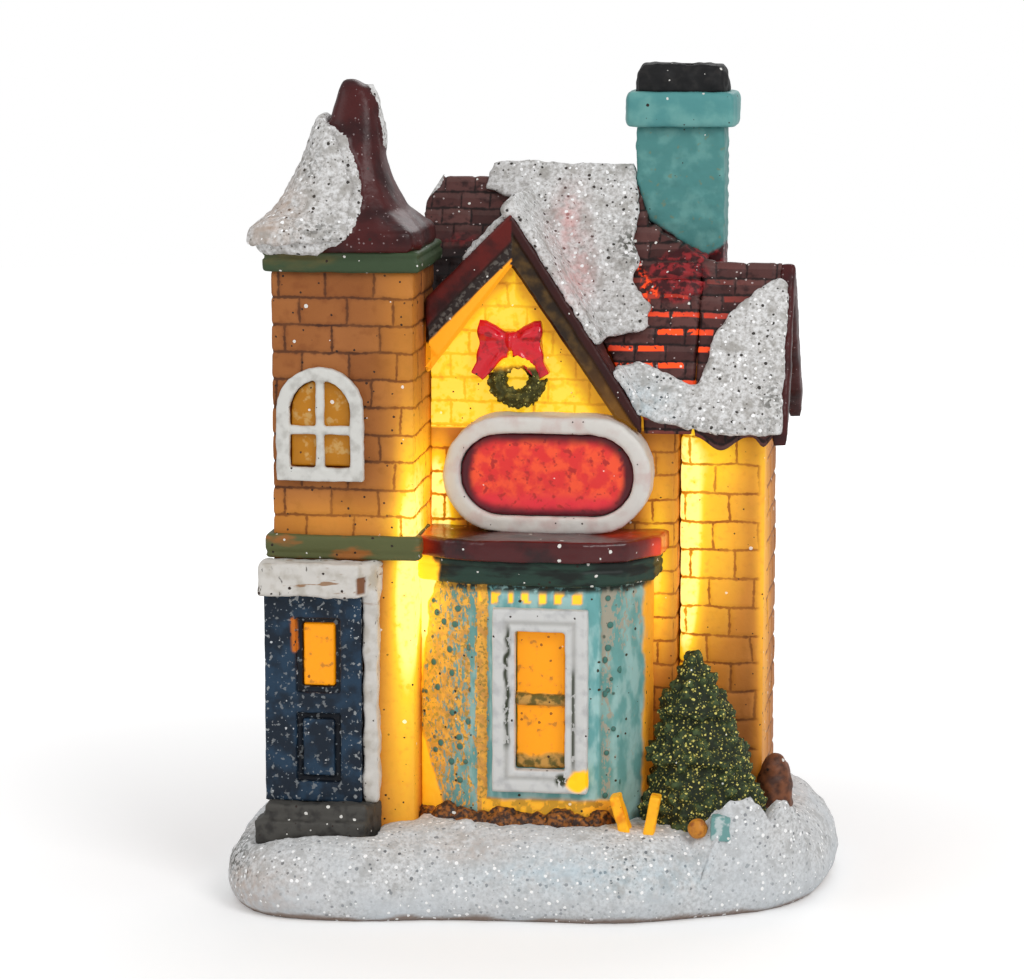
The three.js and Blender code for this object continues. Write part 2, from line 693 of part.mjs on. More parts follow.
function shopWalls() {
  const under = underMainRoof(-roofDrop - FIT, OVER, OVER);
  const outer = block(shopLeft, shopRight, SHOP_FRONT, shopBack, seatZ, MAIN_RIDGE_Z);
  const inner = block(
    shopLeft + WALL,
    shopRight - WALL,
    SHOP_FRONT + WALL,
    shopBack - WALL,
    seatZ - OVER,
    MAIN_RIDGE_Z + OVER,
  );
  const shell = cut(outer.intersect(under), inner);
  const left = shopLeft;
  const lift = -GABLE_ROOF_DROP - FIT;
  const rightX = GABLE_APEX_X + (GABLE_APEX_Z + lift - EAVE_Z + roofDrop) / GABLE_RIGHT_SLOPE;
  const gableWall = alongY([
    [left, seatZ],
    [left, gableTop(left) + lift],
    [GABLE_APEX_X, GABLE_APEX_Z + lift],
    [rightX, gableTop(rightX) + lift],
    [rightX, seatZ],
  ], SHOP_FRONT, SHOP_FRONT + WALL);
  const bayOpening = block(
    shopLeft + BAY_OPENING_SIDE,
    bayRight - BAY_OPENING_SIDE,
    SHOP_FRONT - OVER,
    SHOP_FRONT + WALL + OVER,
    seatZ + BAY_OPENING_EDGE,
    bayTop - BAY_OPENING_EDGE,
  );
  const towerWay = passage(shopLeft - OVER, shopLeft + WALL + OVER, SHOP_FRONT + WALL, towerPassageWidth);
  const wingWay = passage(shopRight - WALL - OVER, shopRight + OVER, 0, PASSAGE_WIDTH);
  return cut(join(shell, gableWall), bayOpening, towerWay, wingWay);
}

function wingWalls() {
  const outer = block(wingLeft, wingRight, WING_FRONT, wingBack, seatZ, WING_RIDGE_Z);
  const under = underWingRoof(-roofDrop - FIT, OVER, 0, wingLeft - OVER);
  const inner = block(
    wingLeft - OVER,
    wingRight - WALL,
    WING_FRONT + WALL,
    wingBack - WALL,
    seatZ - OVER,
    WING_RIDGE_Z,
  );
  return cut(outer.intersect(under), inner);
}

// Flat block that stands out all round the tower
function towerBand(reach, z0, z1) {
  return block(
    TOWER_LEFT - reach,
    towerRight + reach,
    TOWER_FRONT - reach,
    towerBack + reach,
    z0,
    z1,
  );
}

function stringCourse() {
  const z0 = seatZ + COURSE_RISE;
  const z1 = z0 + COURSE_HEIGHT;
  const band = towerBand(COURSE_REACH, z0, z1);
  const tower = block(TOWER_LEFT, towerRight, TOWER_FRONT, towerBack, z0 - OVER, z1 + OVER);
  const shop = block(shopLeft - FIT, shopRight, SHOP_FRONT - FIT, shopBack, z0 - OVER, z1 + OVER);
  const bay = alongZ(bayPlan(LEDGE_REACH + FIT), z0 - OVER, Math.max(ledgeTop, z1) + OVER);
  return cut(band, tower, shop, bay);
}

function towerCornice() {
  const top = towerTop + CORNICE_HEIGHT;
  return cut(towerBand(CORNICE_REACH, towerTop, top), towerWell(top));
}

function mainRoof() {
  const outer = alongX(shingled(mainRidge, MAIN_BACK_EAVE), mainLeft, mainRight);
  return cut(
    outer,
    aboveHip(0),
    underMainRoof(-roofDrop, OVER, OVER),
    underGable(FIT, FIT, EAVE_Y - OVER),
    towerSpace(FIT),
  );
}

const signZ = ledgeTop + SIGN_HEIGHT / 2;
const signFront = SHOP_FRONT - SIGN_THICKNESS;

// The sign's whole space with a clearance round it
function signSpace(grow) {
  const outline = ovalOutline(SIGN_X, signZ, SIGN_WIDTH + 2 * grow, SIGN_HEIGHT + 2 * grow);
  return alongY(outline, signFront - grow, SHOP_FRONT);
}

function gableRoof() {
  const band = alongY(gableBand(0), gableFront + FASCIA_THICKNESS, mainRidge[0]);
  return cut(band, underMainRoof(FIT, 0, OVER), towerSpace(FIT), signSpace(FIT));
}

// Front board of the gable, broader than the roof behind it
function gableFascia() {
  const left = shopLeft;
  const innerApex = GABLE_APEX_Z - FASCIA_INNER_APEX_DROP;
  const footZ = gableTop(GABLE_FOOT_X);
  const innerRight = GABLE_APEX_X + (innerApex - footZ) / FASCIA_INNER_RIGHT_SLOPE;
  const innerLeft = innerApex - (GABLE_APEX_X - left) * FASCIA_INNER_LEFT_SLOPE;
  const board = alongY([
    [left, gableTop(left)],
    [GABLE_APEX_X, GABLE_APEX_Z],
    [GABLE_FOOT_X, footZ],
    [GABLE_FOOT_X, footZ - GABLE_FOOT_HEIGHT],
    [innerRight, footZ],
    [GABLE_APEX_X, innerApex],
    [left, innerLeft],
  ], gableFront, gableFront + FASCIA_THICKNESS);
  return cut(board, signSpace(FIT));
}

function wingRoof() {
  const outer = alongX(shingled(wingRidge, WING_BACK_EAVE), mainRight + FIT, wingRoofRight);
  return cut(outer, underWingRoof(-roofDrop, OVER, OVER));
}

function wingBargeBoard() {
  const outer = alongX(underRoof(wingRidge, WING_BACK_EAVE, 0, 0), wingRoofRight, bargeRight);
  return cut(outer, underWingRoof(-roofDrop - BARGE_DROP, OVER, OVER));
}

// The chimney shaft's whole space with a clearance round it
function chimneySpace(grow) {
  return block(
    CHIMNEY_LEFT - grow,
    CHIMNEY_LEFT + CHIMNEY_WIDTH + grow,
    CHIMNEY_FRONT - grow,
    CHIMNEY_FRONT + CHIMNEY_DEPTH + grow,
    EAVE_Z,
    CHIMNEY_TOP,
  );
}

function chimneyStack() {
  return cut(chimneySpace(0), underMainRoof(FIT, 0, FIT), underWingRoof(FIT, 0, OVER));
}

function chimneyRing(z, reach) {
  return squareRing(
    CHIMNEY_LEFT + CHIMNEY_WIDTH / 2,
    CHIMNEY_FRONT + CHIMNEY_DEPTH / 2,
    z,
    CHIMNEY_WIDTH / 2 + reach,
    CHIMNEY_DEPTH / 2 + reach,
    12,
    24,
  );
}

function chimneyCollar() {
  const z1 = CHIMNEY_TOP + COLLAR_HEIGHT;
  return loft([
    chimneyRing(CHIMNEY_TOP, 0.9 * COLLAR_REACH),
    chimneyRing(CHIMNEY_TOP + 0.8, COLLAR_REACH),
    chimneyRing(z1 - 0.8, COLLAR_REACH),
    chimneyRing(z1, 0.8 * COLLAR_REACH),
  ]);
}

function chimneyCap() {
  const z0 = CHIMNEY_TOP + COLLAR_HEIGHT;
  const body = loft([
    chimneyRing(z0, 0.2),
    chimneyRing(z0 + 0.7 * CAP_HEIGHT, 0),
    chimneyRing(z0 + CAP_HEIGHT, -CAP_TAPER),
  ]);
  const flue = block(
    CHIMNEY_LEFT + FLUE_WALL_X,
    CHIMNEY_LEFT + CHIMNEY_WIDTH - FLUE_WALL_X,
    CHIMNEY_FRONT + FLUE_WALL_Y,
    CHIMNEY_FRONT + CHIMNEY_DEPTH - FLUE_WALL_Y,
    z0 + 0.6 * CAP_HEIGHT,
    z0 + CAP_HEIGHT + OVER,
  );
  return cut(body, flue);
}

const doorRight = doorLeft + DOOR_WIDTH;
const jambRight = doorRight + FIT + JAMB_WIDTH;

// Lintel over the door, joined to the white jamb on its right
function doorSurround() {
  const lintel = alongZ([
    [doorLeft - LINTEL_SIDE, TOWER_FRONT],
    [doorLeft - LINTEL_SIDE, TOWER_FRONT - LINTEL_REACH],
    [doorRight, TOWER_FRONT - LINTEL_REACH],
    [doorRight + LINTEL_RETURN, TOWER_FRONT],
  ], doorTop, doorTop + LINTEL_HEIGHT);
  const jambFront = TOWER_FRONT - 0.8 * DOOR_THICKNESS;
  const jamb = block(doorRight + FIT, jambRight, jambFront, TOWER_FRONT, stepTop, doorTop + 0.5);
  return join(lintel, jamb);
}

function frontDoor() {
  const front = TOWER_FRONT - DOOR_THICKNESS;
  const leaf = block(doorLeft, doorRight, front, TOWER_FRONT, stepTop, doorTop);
  const recess = (x0, x1, rise0, rise1) => block(
    x0,
    x1,
    front - OVER,
    front + DOOR_PANEL_DEPTH,
    stepTop + rise0,
    stepTop + rise1,
  );
  const panelLeft = doorWindowLeft - DOOR_MOULDING;
  const panelRight = doorWindowLeft + DOOR_WINDOW_WIDTH + DOOR_MOULDING;
  const upperFoot = DOOR_WINDOW_RISE - DOOR_MOULDING;
  const upperTop = DOOR_WINDOW_RISE + DOOR_WINDOW_HEIGHT + DOOR_MOULDING;
  const upper = recess(panelLeft, panelRight, upperFoot, upperTop);
  const lower = recess(panelLeft, panelRight, DOOR_RAIL, upperFoot - DOOR_RAIL);
  const field = block(
    panelLeft + DOOR_FIELD_INSET,
    panelRight - DOOR_FIELD_INSET,
    front + DOOR_FIELD_DROP,
    front + DOOR_PANEL_DEPTH,
    stepTop + DOOR_RAIL + DOOR_FIELD_INSET,
    stepTop + upperFoot - DOOR_RAIL - DOOR_FIELD_INSET,
  );
  const light = doorWindowSpace(0, front - OVER, TOWER_FRONT + OVER);
  return cut(join(cut(leaf, upper, lower), field), light);
}

function doorWindow() {
  const front = TOWER_FRONT - DOOR_THICKNESS + DOOR_PANEL_DEPTH;
  return doorWindowSpace(-PANE_FIT, front, front + PANE_THICKNESS);
}

function doorStep() {
  const left = doorLeft - STEP_SIDE;
  const front = TOWER_FRONT - STEP_REACH;
  const plan = (inset) => [
    [left + inset, TOWER_FRONT],
    [left + inset, front + inset],
    [doorRight + STEP_SIDE, front + inset],
    [jambRight + PANE_FIT, TOWER_FRONT],
  ];
  const split = seatZ + STEP_LOWER_HEIGHT;
  return join(alongZ(plan(0), seatZ, split), alongZ(plan(STEP_TREAD), split - PANE_FIT, stepTop));
}

const baySill = seatZ + BAY_WINDOW_RISE;

function bayWindowSpace(grow, y0, y1) {
  return block(
    BAY_WINDOW_LEFT - grow,
    BAY_WINDOW_LEFT + BAY_WINDOW_WIDTH + grow,
    y0,
    y1,
    baySill - grow,
    baySill + BAY_WINDOW_HEIGHT + grow,
  );
}

function bayShell() {
  const outer = alongZ(bayPlan(0), seatZ, bayTop);
  const innerLine = offsetLine(BAY_LINE, -WALL);
  innerLine[0][0] = shopLeft + WALL;
  innerLine[innerLine.length - 1][1] = SHOP_FRONT + OVER;
  const inner = alongZ([[shopLeft + WALL, SHOP_FRONT + OVER], ...innerLine], seatZ - OVER, bayTop + OVER);
  return cut(outer, inner, bayWindowSpace(0, BAY_FRONT - OVER, BAY_FRONT + WALL + OVER));
}

function bayWindowFrame() {
  const front = BAY_FRONT - BAY_FRAME_THICKNESS;
  const opening = bayWindowSpace(0, front - OVER, BAY_FRONT + OVER);
  return cut(bayWindowSpace(BAY_FRAME_WIDTH, front, BAY_FRONT), opening);
}

function bayWindowPane() {
  const pane = bayWindowSpace(-PANE_FIT, BAY_FRONT, BAY_FRONT + PANE_THICKNESS);
  const middle = baySill + BAY_WINDOW_HEIGHT / 2;
  const rail = block(
    BAY_WINDOW_LEFT + PANE_FIT,
    BAY_WINDOW_LEFT + BAY_WINDOW_WIDTH - PANE_FIT,
    BAY_FRONT - PANE_RAIL_DEPTH,
    BAY_FRONT + PANE_FIT,
    middle - PANE_RAIL / 2,
    middle + PANE_RAIL / 2,
  );
  return join(pane, rail);
}

function bayCornice() {
  return cut(alongZ(bayPlan(BAY_CORNICE_REACH), bayTop, bayCorniceTop), towerSpace(FIT));
}

function bayLedge() {
  return cut(alongZ(bayPlan(LEDGE_REACH), bayCorniceTop, ledgeTop), towerSpace(FIT));
}

function signFrame() {
  const outer = signSpace(0);
  const width = SIGN_WIDTH - 2 * SIGN_RIM;
  const height = SIGN_HEIGHT - 2 * SIGN_RIM;
  return cut(outer, alongY(ovalOutline(SIGN_X, signZ, width, height), signFront - OVER, SHOP_FRONT + OVER));
}

function signPanel() {
  const width = SIGN_WIDTH - 2 * SIGN_RIM - 2 * PANE_FIT;
  const height = SIGN_HEIGHT - 2 * SIGN_RIM - 2 * PANE_FIT;
  return alongY(ovalOutline(SIGN_X, signZ, width, height), signFront + SIGN_RECESS, SHOP_FRONT);
}

function towerWindowFrame() {
  const front = TOWER_FRONT - ARCH_FRAME_THICKNESS;
  const barFront = front + MUNTIN_DROP;
  const ring = cut(
    alongY(archShape(ARCH_FRAME_WIDTH), front, TOWER_FRONT),
    alongY(archShape(0), front - OVER, TOWER_FRONT + OVER),
  );
  const half = MUNTIN_WIDTH / 2;
  const postTop = archSill + ARCH_HEIGHT + half;
  const post = block(archX - half, archX + half, barFront, TOWER_FRONT, archSill - half, postTop);
  const reach = ARCH_HALF_WIDTH + half;
  const railZ = archSill + ARCH_HEIGHT * MUNTIN_SHARE;
  const rail = block(archX - reach, archX + reach, barFront, TOWER_FRONT, railZ - half, railZ + half);
  return join(ring, post, rail);
}

function towerWindowPane() {
  return alongY(archShape(-PANE_FIT), TOWER_FRONT, TOWER_FRONT + PANE_THICKNESS);
}

const wreathZ = ledgeTop + SIGN_HEIGHT + WREATH_GAP + WREATH_RADIUS + WREATH_TUBE;
const bowZ = wreathZ + BOW_RISE;

// The gable wall and the house behind it
function behindGable() {
  return block(-FAR, FAR, SHOP_FRONT, SHOP_FRONT + FAR, seatZ, GABLE_APEX_Z);
}

function wreath() {
  const torus = new THREE.TorusGeometry(WREATH_RADIUS, WREATH_TUBE, 9, 22);
  torus.rotateX(Math.PI / 2);
  torus.translate(WREATH_X, SHOP_FRONT - WREATH_TUBE + WREATH_SINK, wreathZ);
  return cut(solid(torus), behindGable(), bow(FIT));
}

// Right half of the bow's two loops: reach from the knot, rise, half height and half depth
const BOW_LOOP = [[0.7, 0.5, 1, 0.8], [1.9, 1, 1.5, 1.15], [3.4, 1.4, 1.9, 1.25], [4.5, 1.5, 1.9, 1]];
// Half height and half depth of its knot
const BOW_KNOT = [1.5, 1.45];
// Right tail of the bow, from its knot, counter-clockwise in (x, z)
const BOW_TAIL = [[0.3, 0.3], [0.4, -2.1], [1.7, -2.7], [3.9, -5.4], [5.6, -4.3], [4.7, -2.7], [4.4, 0.3]];

// Ribbon bow with two flared loops and two tails that hang over the wreath
function bow(grow) {
  const ring = (x, rise, halfHeight, halfDepth) => {
    const points = [];
    for (let i = 0; i < 12; i += 1) {
      const angle = (i / 12) * Math.PI * 2;
      points.push(new THREE.Vector3(
        BOW_X + x,
        SHOP_FRONT - BOW_DEPTH / 2 + Math.cos(angle) * (halfDepth + grow),
        bowZ + rise + Math.sin(angle) * (halfHeight + grow),
      ));
    }
    return points;
  };
  const right = BOW_LOOP.map(([x, ...rest]) => ring(x, ...rest));
  const left = BOW_LOOP.map(([x, ...rest]) => ring(-x, ...rest)).reverse();
  const loops = loft([...left, ring(0, 0.2, ...BOW_KNOT), ...right]);
  const tails = [1, -1].map((side) => {
    const corners = BOW_TAIL.map(([x, z]) => [BOW_X + side * x, bowZ + z]);
    const outline = grownOutline(side > 0 ? corners : corners.reverse(), grow);
    return alongY(outline, SHOP_FRONT - BOW_TAIL_DEPTH - grow, SHOP_FRONT);
  });
  return cut(join(loops, ...tails), behindGable());
}

// Tiers of the fir tree: share of its radius and of its height
const TREE_PROFILE = [
  [0.96, 0], [1, 0.1], [0.74, 0.34], [0.84, 0.38], [0.52, 0.6], [0.6, 0.64], [0.28, 0.85], [0.12, 0.97],
  [0.02, 1],
];

function fir(grow) {
  const rings = TREE_PROFILE.map(([share, height]) => {
    const radius = TREE_RADIUS * share + grow;
    const z = MOUND_HEIGHT + height * TREE_HEIGHT;
    return squareRing(TREE_X + TREE_LEAN * height, TREE_Y, z, radius, radius, 2, 18);
  });
  return loft(rings);
}

// Spaces of the house that garden pieces are cut to
function houseFront(grow) {
  return join(
    block(shopLeft, shopRight + grow, SHOP_FRONT - grow, shopBack, 0, EAVE_Z),
    block(shopLeft, wingRight + grow, WING_FRONT - grow, wingBack, 0, EAVE_Z),
    alongZ(bayPlan(grow), 0, bayTop),
    towerSpace(grow),
  );
}

function pineTree() {
  return cut(fir(0), houseFront(FIT));
}

// The snow mound's flat top and everything below it
function ground() {
  return block(-FAR, FAR, -FAR, FAR, -FAR, MOUND_HEIGHT);
}

function cornerRock() {
  const halfHeight = 1.9 * ROCK_RADIUS;
  const middle = MOUND_HEIGHT + 0.45 * halfHeight;
  const stone = lump(ROCK_X, ROCK_Y, middle, 0.85 * ROCK_RADIUS, ROCK_RADIUS, halfHeight, 12);
  return cut(stone, ground(), houseFront(FIT), fir(FIT));
}

// Row of uneven stones along the bay's foot
function rockEdging() {
  const stones = [];
  const start = jambRight + EDGING_SPACING / 2;
  const end = bayRight - 2 * EDGING_SPACING;
  const count = Math.floor((end - start) / EDGING_SPACING);
  for (let i = 0; i <= count; i += 1) {
    const x = start + i * EDGING_SPACING;
    const size = EDGING_RADIUS * (1 + EDGING_UNEVENNESS * Math.sin(i * 2.3));
    const y = bayLineY(x) - 0.2 * EDGING_RADIUS;
    stones.push(lump(x, y, MOUND_HEIGHT + 0.25 * EDGING_RADIUS, size * 1.1, size, size, 8));
  }
  const step = block(-FAR, start, -FAR, SHOP_FRONT, seatZ, doorTop);
  return cut(join(...stones), ground(), step, houseFront(FIT));
}

function treeBall() {
  const ball = new THREE.SphereGeometry(BALL_RADIUS, 14, 10);
  ball.rotateX(Math.PI / 2);
  ball.translate(TREE_X, TREE_Y - TREE_RADIUS - BALL_RADIUS - FIT, MOUND_HEIGHT + BALL_RADIUS);
  return solid(ball);
}

function smallParcel() {
  const [width, depth, height] = PARCEL_SIZE;
  const x = TREE_X + BALL_RADIUS + 2 * FIT;
  const y = TREE_Y - TREE_RADIUS - FIT;
  return block(x, x + width, y - depth, y, MOUND_HEIGHT, MOUND_HEIGHT + height);
}

// One of the two orange slabs that lean at the foot of the bay
function leaningSlab(x, leanDeg) {
  const [width, depth, height] = SLAB_SIZE;
  const slab = new THREE.BoxGeometry(width, depth, height);
  slab.translate(0, 0, height / 2 - SLAB_SINK);
  slab.rotateY(THREE.MathUtils.degToRad(leanDeg));
  slab.translate(x, BAY_FRONT - SLAB_STAND_OFF, MOUND_HEIGHT);
  return cut(solid(slab), ground(), fir(FIT));
}

// Everything under the roofs' surface, raised by a lift and run on past the eaves
function underRoofs(lift, reach) {
  return join(underMainRoof(lift, reach), underGable(lift), underWingRoof(lift, reach, 0, mainRight));
}

// Outline, seen from the front, of the snow between the two ridges and the gable
const MAIN_SNOW = [
  [-9.5, 99], [-8, 106], [12.3, 108], [12.3, 101], [13.2, 95.5], [12.3, 92], [13.7, 89], [12.7, 86.6],
  [15.5, 83.3], [15.4, 80], [12.2, 79.6], [8.2, 78.6], [4.5, 83], [-1.9, 93.5], [-4.5, 97.6],
];
// Outline of the snow along the wing's eave and right verge
const WING_SNOW = [
  [33.9, 87.4], [35.1, 86.6], [35.1, 66.5], [26.5, 66.5], [19.2, 67.6], [15.1, 69], [12.3, 72.6],
  [10.7, 75], [14.7, 75.7], [18.3, 74.4], [23.2, 72.6], [24.3, 75.5], [25.1, 79.4], [27.7, 83.1],
  [31.1, 85.8],
];
// Outline of the snow on the left of the spire
const SPIRE_SNOW_OUTLINE = [
  [-45, 92.7], [-24.4, 94.2], [-24.3, 101.5], [-27.8, 109], [-31, 112], [-45, 112],
];

function mainRoofSnow() {
  const layer = cut(underRoofs(ROOF_SNOW, SNOW_OVERHANG), underRoofs(FIT, 0), chimneySpace(FIT));
  return layer.intersect(alongY(MAIN_SNOW, gableFront, mainRidge[0] + 4));
}

function wingRoofSnow() {
  const layer = cut(underRoofs(ROOF_SNOW, SNOW_OVERHANG), underRoofs(FIT, 0));
  return layer.intersect(alongY(WING_SNOW, gableFront, wingRidge[0]));
}

function towerSnow() {
  const layer = cut(spire(SPIRE_SNOW), spire(FIT));
  return layer.intersect(alongY(SPIRE_SNOW_OUTLINE, TOWER_FRONT - FAR, TOWER_FRONT + TOWER_SNOW_DEPTH));
}

// Light module, placed by its middle
const doorPlateTop = MODULE_RECESS + BATTERY_DOOR_THICKNESS;
const doorCeiling = doorPlateTop + MODULE_FIT;
const cellRoom = CELL_DIAMETER + 2 * CELL_FIT;
const moduleTop = doorCeiling + cellRoom + MODULE_WALL;
const moduleLeft = shopLeft + WALL + MODULE_SIDE_ROOM;
const moduleRight = shopRight - WALL - MODULE_SIDE_ROOM;
const moduleFront = SHOP_FRONT + WALL + MODULE_END_ROOM;
const moduleBack = shopBack - WALL - MODULE_END_ROOM;
const moduleX = (moduleLeft + moduleRight) / 2;
const moduleY = (moduleFront + moduleBack) / 2;
const cellStack = CELL_COUNT * CELL_THICKNESS + (CELL_COUNT - 1) * CELL_GAP;
const cellBayFront = moduleFront + MODULE_WALL + DOOR_LAP + MODULE_FIT;
const cellBayBack = cellBayFront + cellRoom;
const cellBayLeft = moduleLeft + CELL_BAY_INSET;
const cellBayRight = cellBayLeft + CONTACT_SPACE + cellStack + CONTACT_THICKNESS + 2 * CONTACT_FIT;
const cellAxisY = (cellBayFront + cellBayBack) / 2;
const cellAxisZ = doorCeiling + CELL_FIT + CELL_DIAMETER / 2;
const hingeX = moduleLeft + MODULE_WALL + MODULE_FIT + BATTERY_DOOR_THICKNESS / 2;
const hingeZ = MODULE_RECESS + BATTERY_DOOR_THICKNESS / 2;
const batteryDoorRight = moduleRight - BATTERY_DOOR_INSET;
const batteryDoorFront = cellBayFront - DOOR_LAP;
const batteryDoorBack = cellBayBack + DOOR_LAP;
const screwX = batteryDoorRight - SCREW_INSET;
const screwY = cellAxisY;
const screwTop = doorPlateTop + SCREW_LENGTH;
const roomFront = batteryDoorBack + MODULE_FIT + MODULE_WALL;
const switchX = moduleX;
const switchY = (roomFront + moduleBack - MODULE_WALL) / 2;
const switchFloor = MODULE_RECESS + MODULE_WALL + MODULE_FIT;
const knobRest = switchX - SWITCH_TRAVEL / 2;
const boardTop = moduleTop + BOARD_THICKNESS;

// Upright round pocket for the screw in the housing
function screwBore() {
  const radius = SCREW_RADIUS + SCREW_SWING_FIT;
  return bar(screwX, screwY, MODULE_RECESS - OVER, screwTop + SCREW_END_ROOM, radius, 24);
}

// Round bar that lies along Y, for the hinge's stubs and their holes
function hingeBar(radius, y0, y1, sides = 20) {
  const cylinder = new THREE.CylinderGeometry(radius, radius, y1 - y0, sides);
  cylinder.translate(hingeX, (y0 + y1) / 2, hingeZ);
  return solid(cylinder);
}

function moduleSpace(grow, z0, z1) {
  return block(moduleLeft - grow, moduleRight + grow, moduleFront - grow, moduleBack + grow, z0, z1);
}

function moduleHousing() {
  const body = moduleSpace(0, MODULE_RECESS, moduleTop);
  const doorRecess = block(
    hingeX - BATTERY_DOOR_THICKNESS / 2 - MODULE_FIT,
    batteryDoorRight + MODULE_FIT,
    batteryDoorFront - MODULE_FIT,
    batteryDoorBack + MODULE_FIT,
    MODULE_RECESS - OVER,
    doorCeiling,
  );
  const bayCeiling = moduleTop - MODULE_WALL;
  const cellBay = block(cellBayLeft, cellBayRight, cellBayFront, cellBayBack, MODULE_RECESS, bayCeiling);
  const room = block(
    moduleLeft + MODULE_WALL,
    moduleRight - MODULE_WALL,
    roomFront,
    moduleBack - MODULE_WALL,
    switchFloor,
    moduleTop + OVER,
  );
  const sideRoom = block(
    cellBayRight + MODULE_WALL,
    moduleRight - MODULE_WALL,
    moduleFront + MODULE_WALL,
    roomFront - MODULE_WALL,
    screwTop + SCREW_END_ROOM + MODULE_WALL,
    moduleTop + OVER,
  );
  const slotHalf = (SWITCH_KNOB[0] + SWITCH_TRAVEL) / 2 + FIT;
  const slot = block(
    switchX - slotHalf,
    switchX + slotHalf,
    switchY - SWITCH_KNOB[1] / 2 - FIT,
    switchY + SWITCH_KNOB[1] / 2 + FIT,
    MODULE_RECESS - OVER,
    switchFloor + OVER,
  );
  const stubHoles = hingeBar(
    HINGE_STUB_RADIUS + HINGE_STUB_FIT,
    batteryDoorFront - HINGE_STUB_LENGTH - MODULE_FIT,
    batteryDoorBack + HINGE_STUB_LENGTH + MODULE_FIT,
  );
  const tailSlot = (x) => block(
    x,
    x + CONTACT_THICKNESS + 2 * CONTACT_FIT,
    cellAxisY - TAIL_HALF_WIDTH - FIT,
    cellAxisY + TAIL_HALF_WIDTH + FIT,
    bayCeiling - OVER,
    moduleTop + OVER,
  );
  return cut(
    body,
    doorRecess,
    cellBay,
    room,
    sideRoom,
    slot,
    stubHoles,
    screwBore(),
    tailSlot(cellBayLeft),
    tailSlot(cellBayRight - CONTACT_THICKNESS - 2 * CONTACT_FIT),
  );
}

function batteryDoor() {
  const [front, back] = [batteryDoorFront, batteryDoorBack];
  const plate = block(hingeX, batteryDoorRight, front, back, MODULE_RECESS, doorPlateTop);
  const edge = hingeBar(BATTERY_DOOR_THICKNESS / 2, front, back, 24);
  const stubs = hingeBar(HINGE_STUB_RADIUS, front - HINGE_STUB_LENGTH, back + HINGE_STUB_LENGTH);
  const shankHole = bar(screwX, screwY, 0, screwTop, SCREW_RADIUS + MODULE_FIT);
  const headSeat = MODULE_RECESS + SCREW_HEAD_HEIGHT + MODULE_FIT;
  const headHole = bar(screwX, screwY, 0, headSeat, SCREW_HEAD_RADIUS + MODULE_FIT, 24);
  const [gripWidth, gripReach, gripDepth] = DOOR_GRIP;
  const grip = block(
    batteryDoorRight - gripReach,
    batteryDoorRight + OVER,
    screwY - gripWidth / 2,
    screwY + gripWidth / 2,
    MODULE_RECESS - OVER,
    MODULE_RECESS + gripDepth,
  );
  return cut(join(plate, edge, stubs), shankHole, headHole, grip);
}

function doorScrew() {
  const z0 = MODULE_RECESS + MODULE_FIT / 2;
  const head = bar(screwX, screwY, z0, z0 + SCREW_HEAD_HEIGHT, SCREW_HEAD_RADIUS, 24);
  const shank = bar(screwX, screwY, z0, screwTop, SCREW_RADIUS);
  const [length, width, depth] = SCREW_SLOT;
  const arm = (x, y) => block(screwX - x / 2, screwX + x / 2, screwY - y / 2, screwY + y / 2, 0, z0 + depth);
  return cut(join(head, shank), arm(length, width), arm(width, length));
}

function switchBody() {
  const [length, width, height] = SWITCH_BODY;
  const can = block(
    switchX - length / 2,
    switchX + length / 2,
    switchY - width / 2,
    switchY + width / 2,
    switchFloor,
    switchFloor + height,
  );
  const reach = (SWITCH_CARRIER[0] + SWITCH_TRAVEL) / 2 + FIT;
  const room = block(
    switchX - reach,
    switchX + reach,
    switchY - SWITCH_CARRIER[1] / 2 - FIT,
    switchY + SWITCH_CARRIER[1] / 2 + FIT,
    switchFloor - OVER,
    switchFloor + FIT + SWITCH_CARRIER[2] + FIT,
  );
  return cut(can, room);
}

function switchSlider() {
  const [length, width, height] = SWITCH_CARRIER;
  const carrier = block(
    knobRest - length / 2,
    knobRest + length / 2,
    switchY - width / 2,
    switchY + width / 2,
    switchFloor + FIT,
    switchFloor + FIT + height,
  );
  const knob = block(
    knobRest - SWITCH_KNOB[0] / 2,
    knobRest + SWITCH_KNOB[0] / 2,
    switchY - SWITCH_KNOB[1] / 2,
    switchY + SWITCH_KNOB[1] / 2,
    MODULE_RECESS - SWITCH_STAND_OUT,
    switchFloor + FIT + height / 2,
  );
  return join(carrier, knob);
}

// Button cell that lies along X, with its smaller pole to the left
function cell(index) {
  const x0 = cellBayLeft + CONTACT_SPACE + index * (CELL_THICKNESS + CELL_GAP);
  const canLength = CELL_THICKNESS - CELL_POLE;
  const can = new THREE.CylinderGeometry(CELL_DIAMETER / 2, CELL_DIAMETER / 2, canLength, 28);
  can.rotateZ(Math.PI / 2);
  can.translate(x0 + CELL_POLE + canLength / 2, cellAxisY, cellAxisZ);
  const pole = new THREE.CylinderGeometry(0.4 * CELL_DIAMETER, 0.42 * CELL_DIAMETER, 2 * CELL_POLE, 24);
  pole.rotateZ(Math.PI / 2);
  pole.translate(x0 + CELL_POLE, cellAxisY, cellAxisZ);
  return join(solid(can), solid(pole));
}

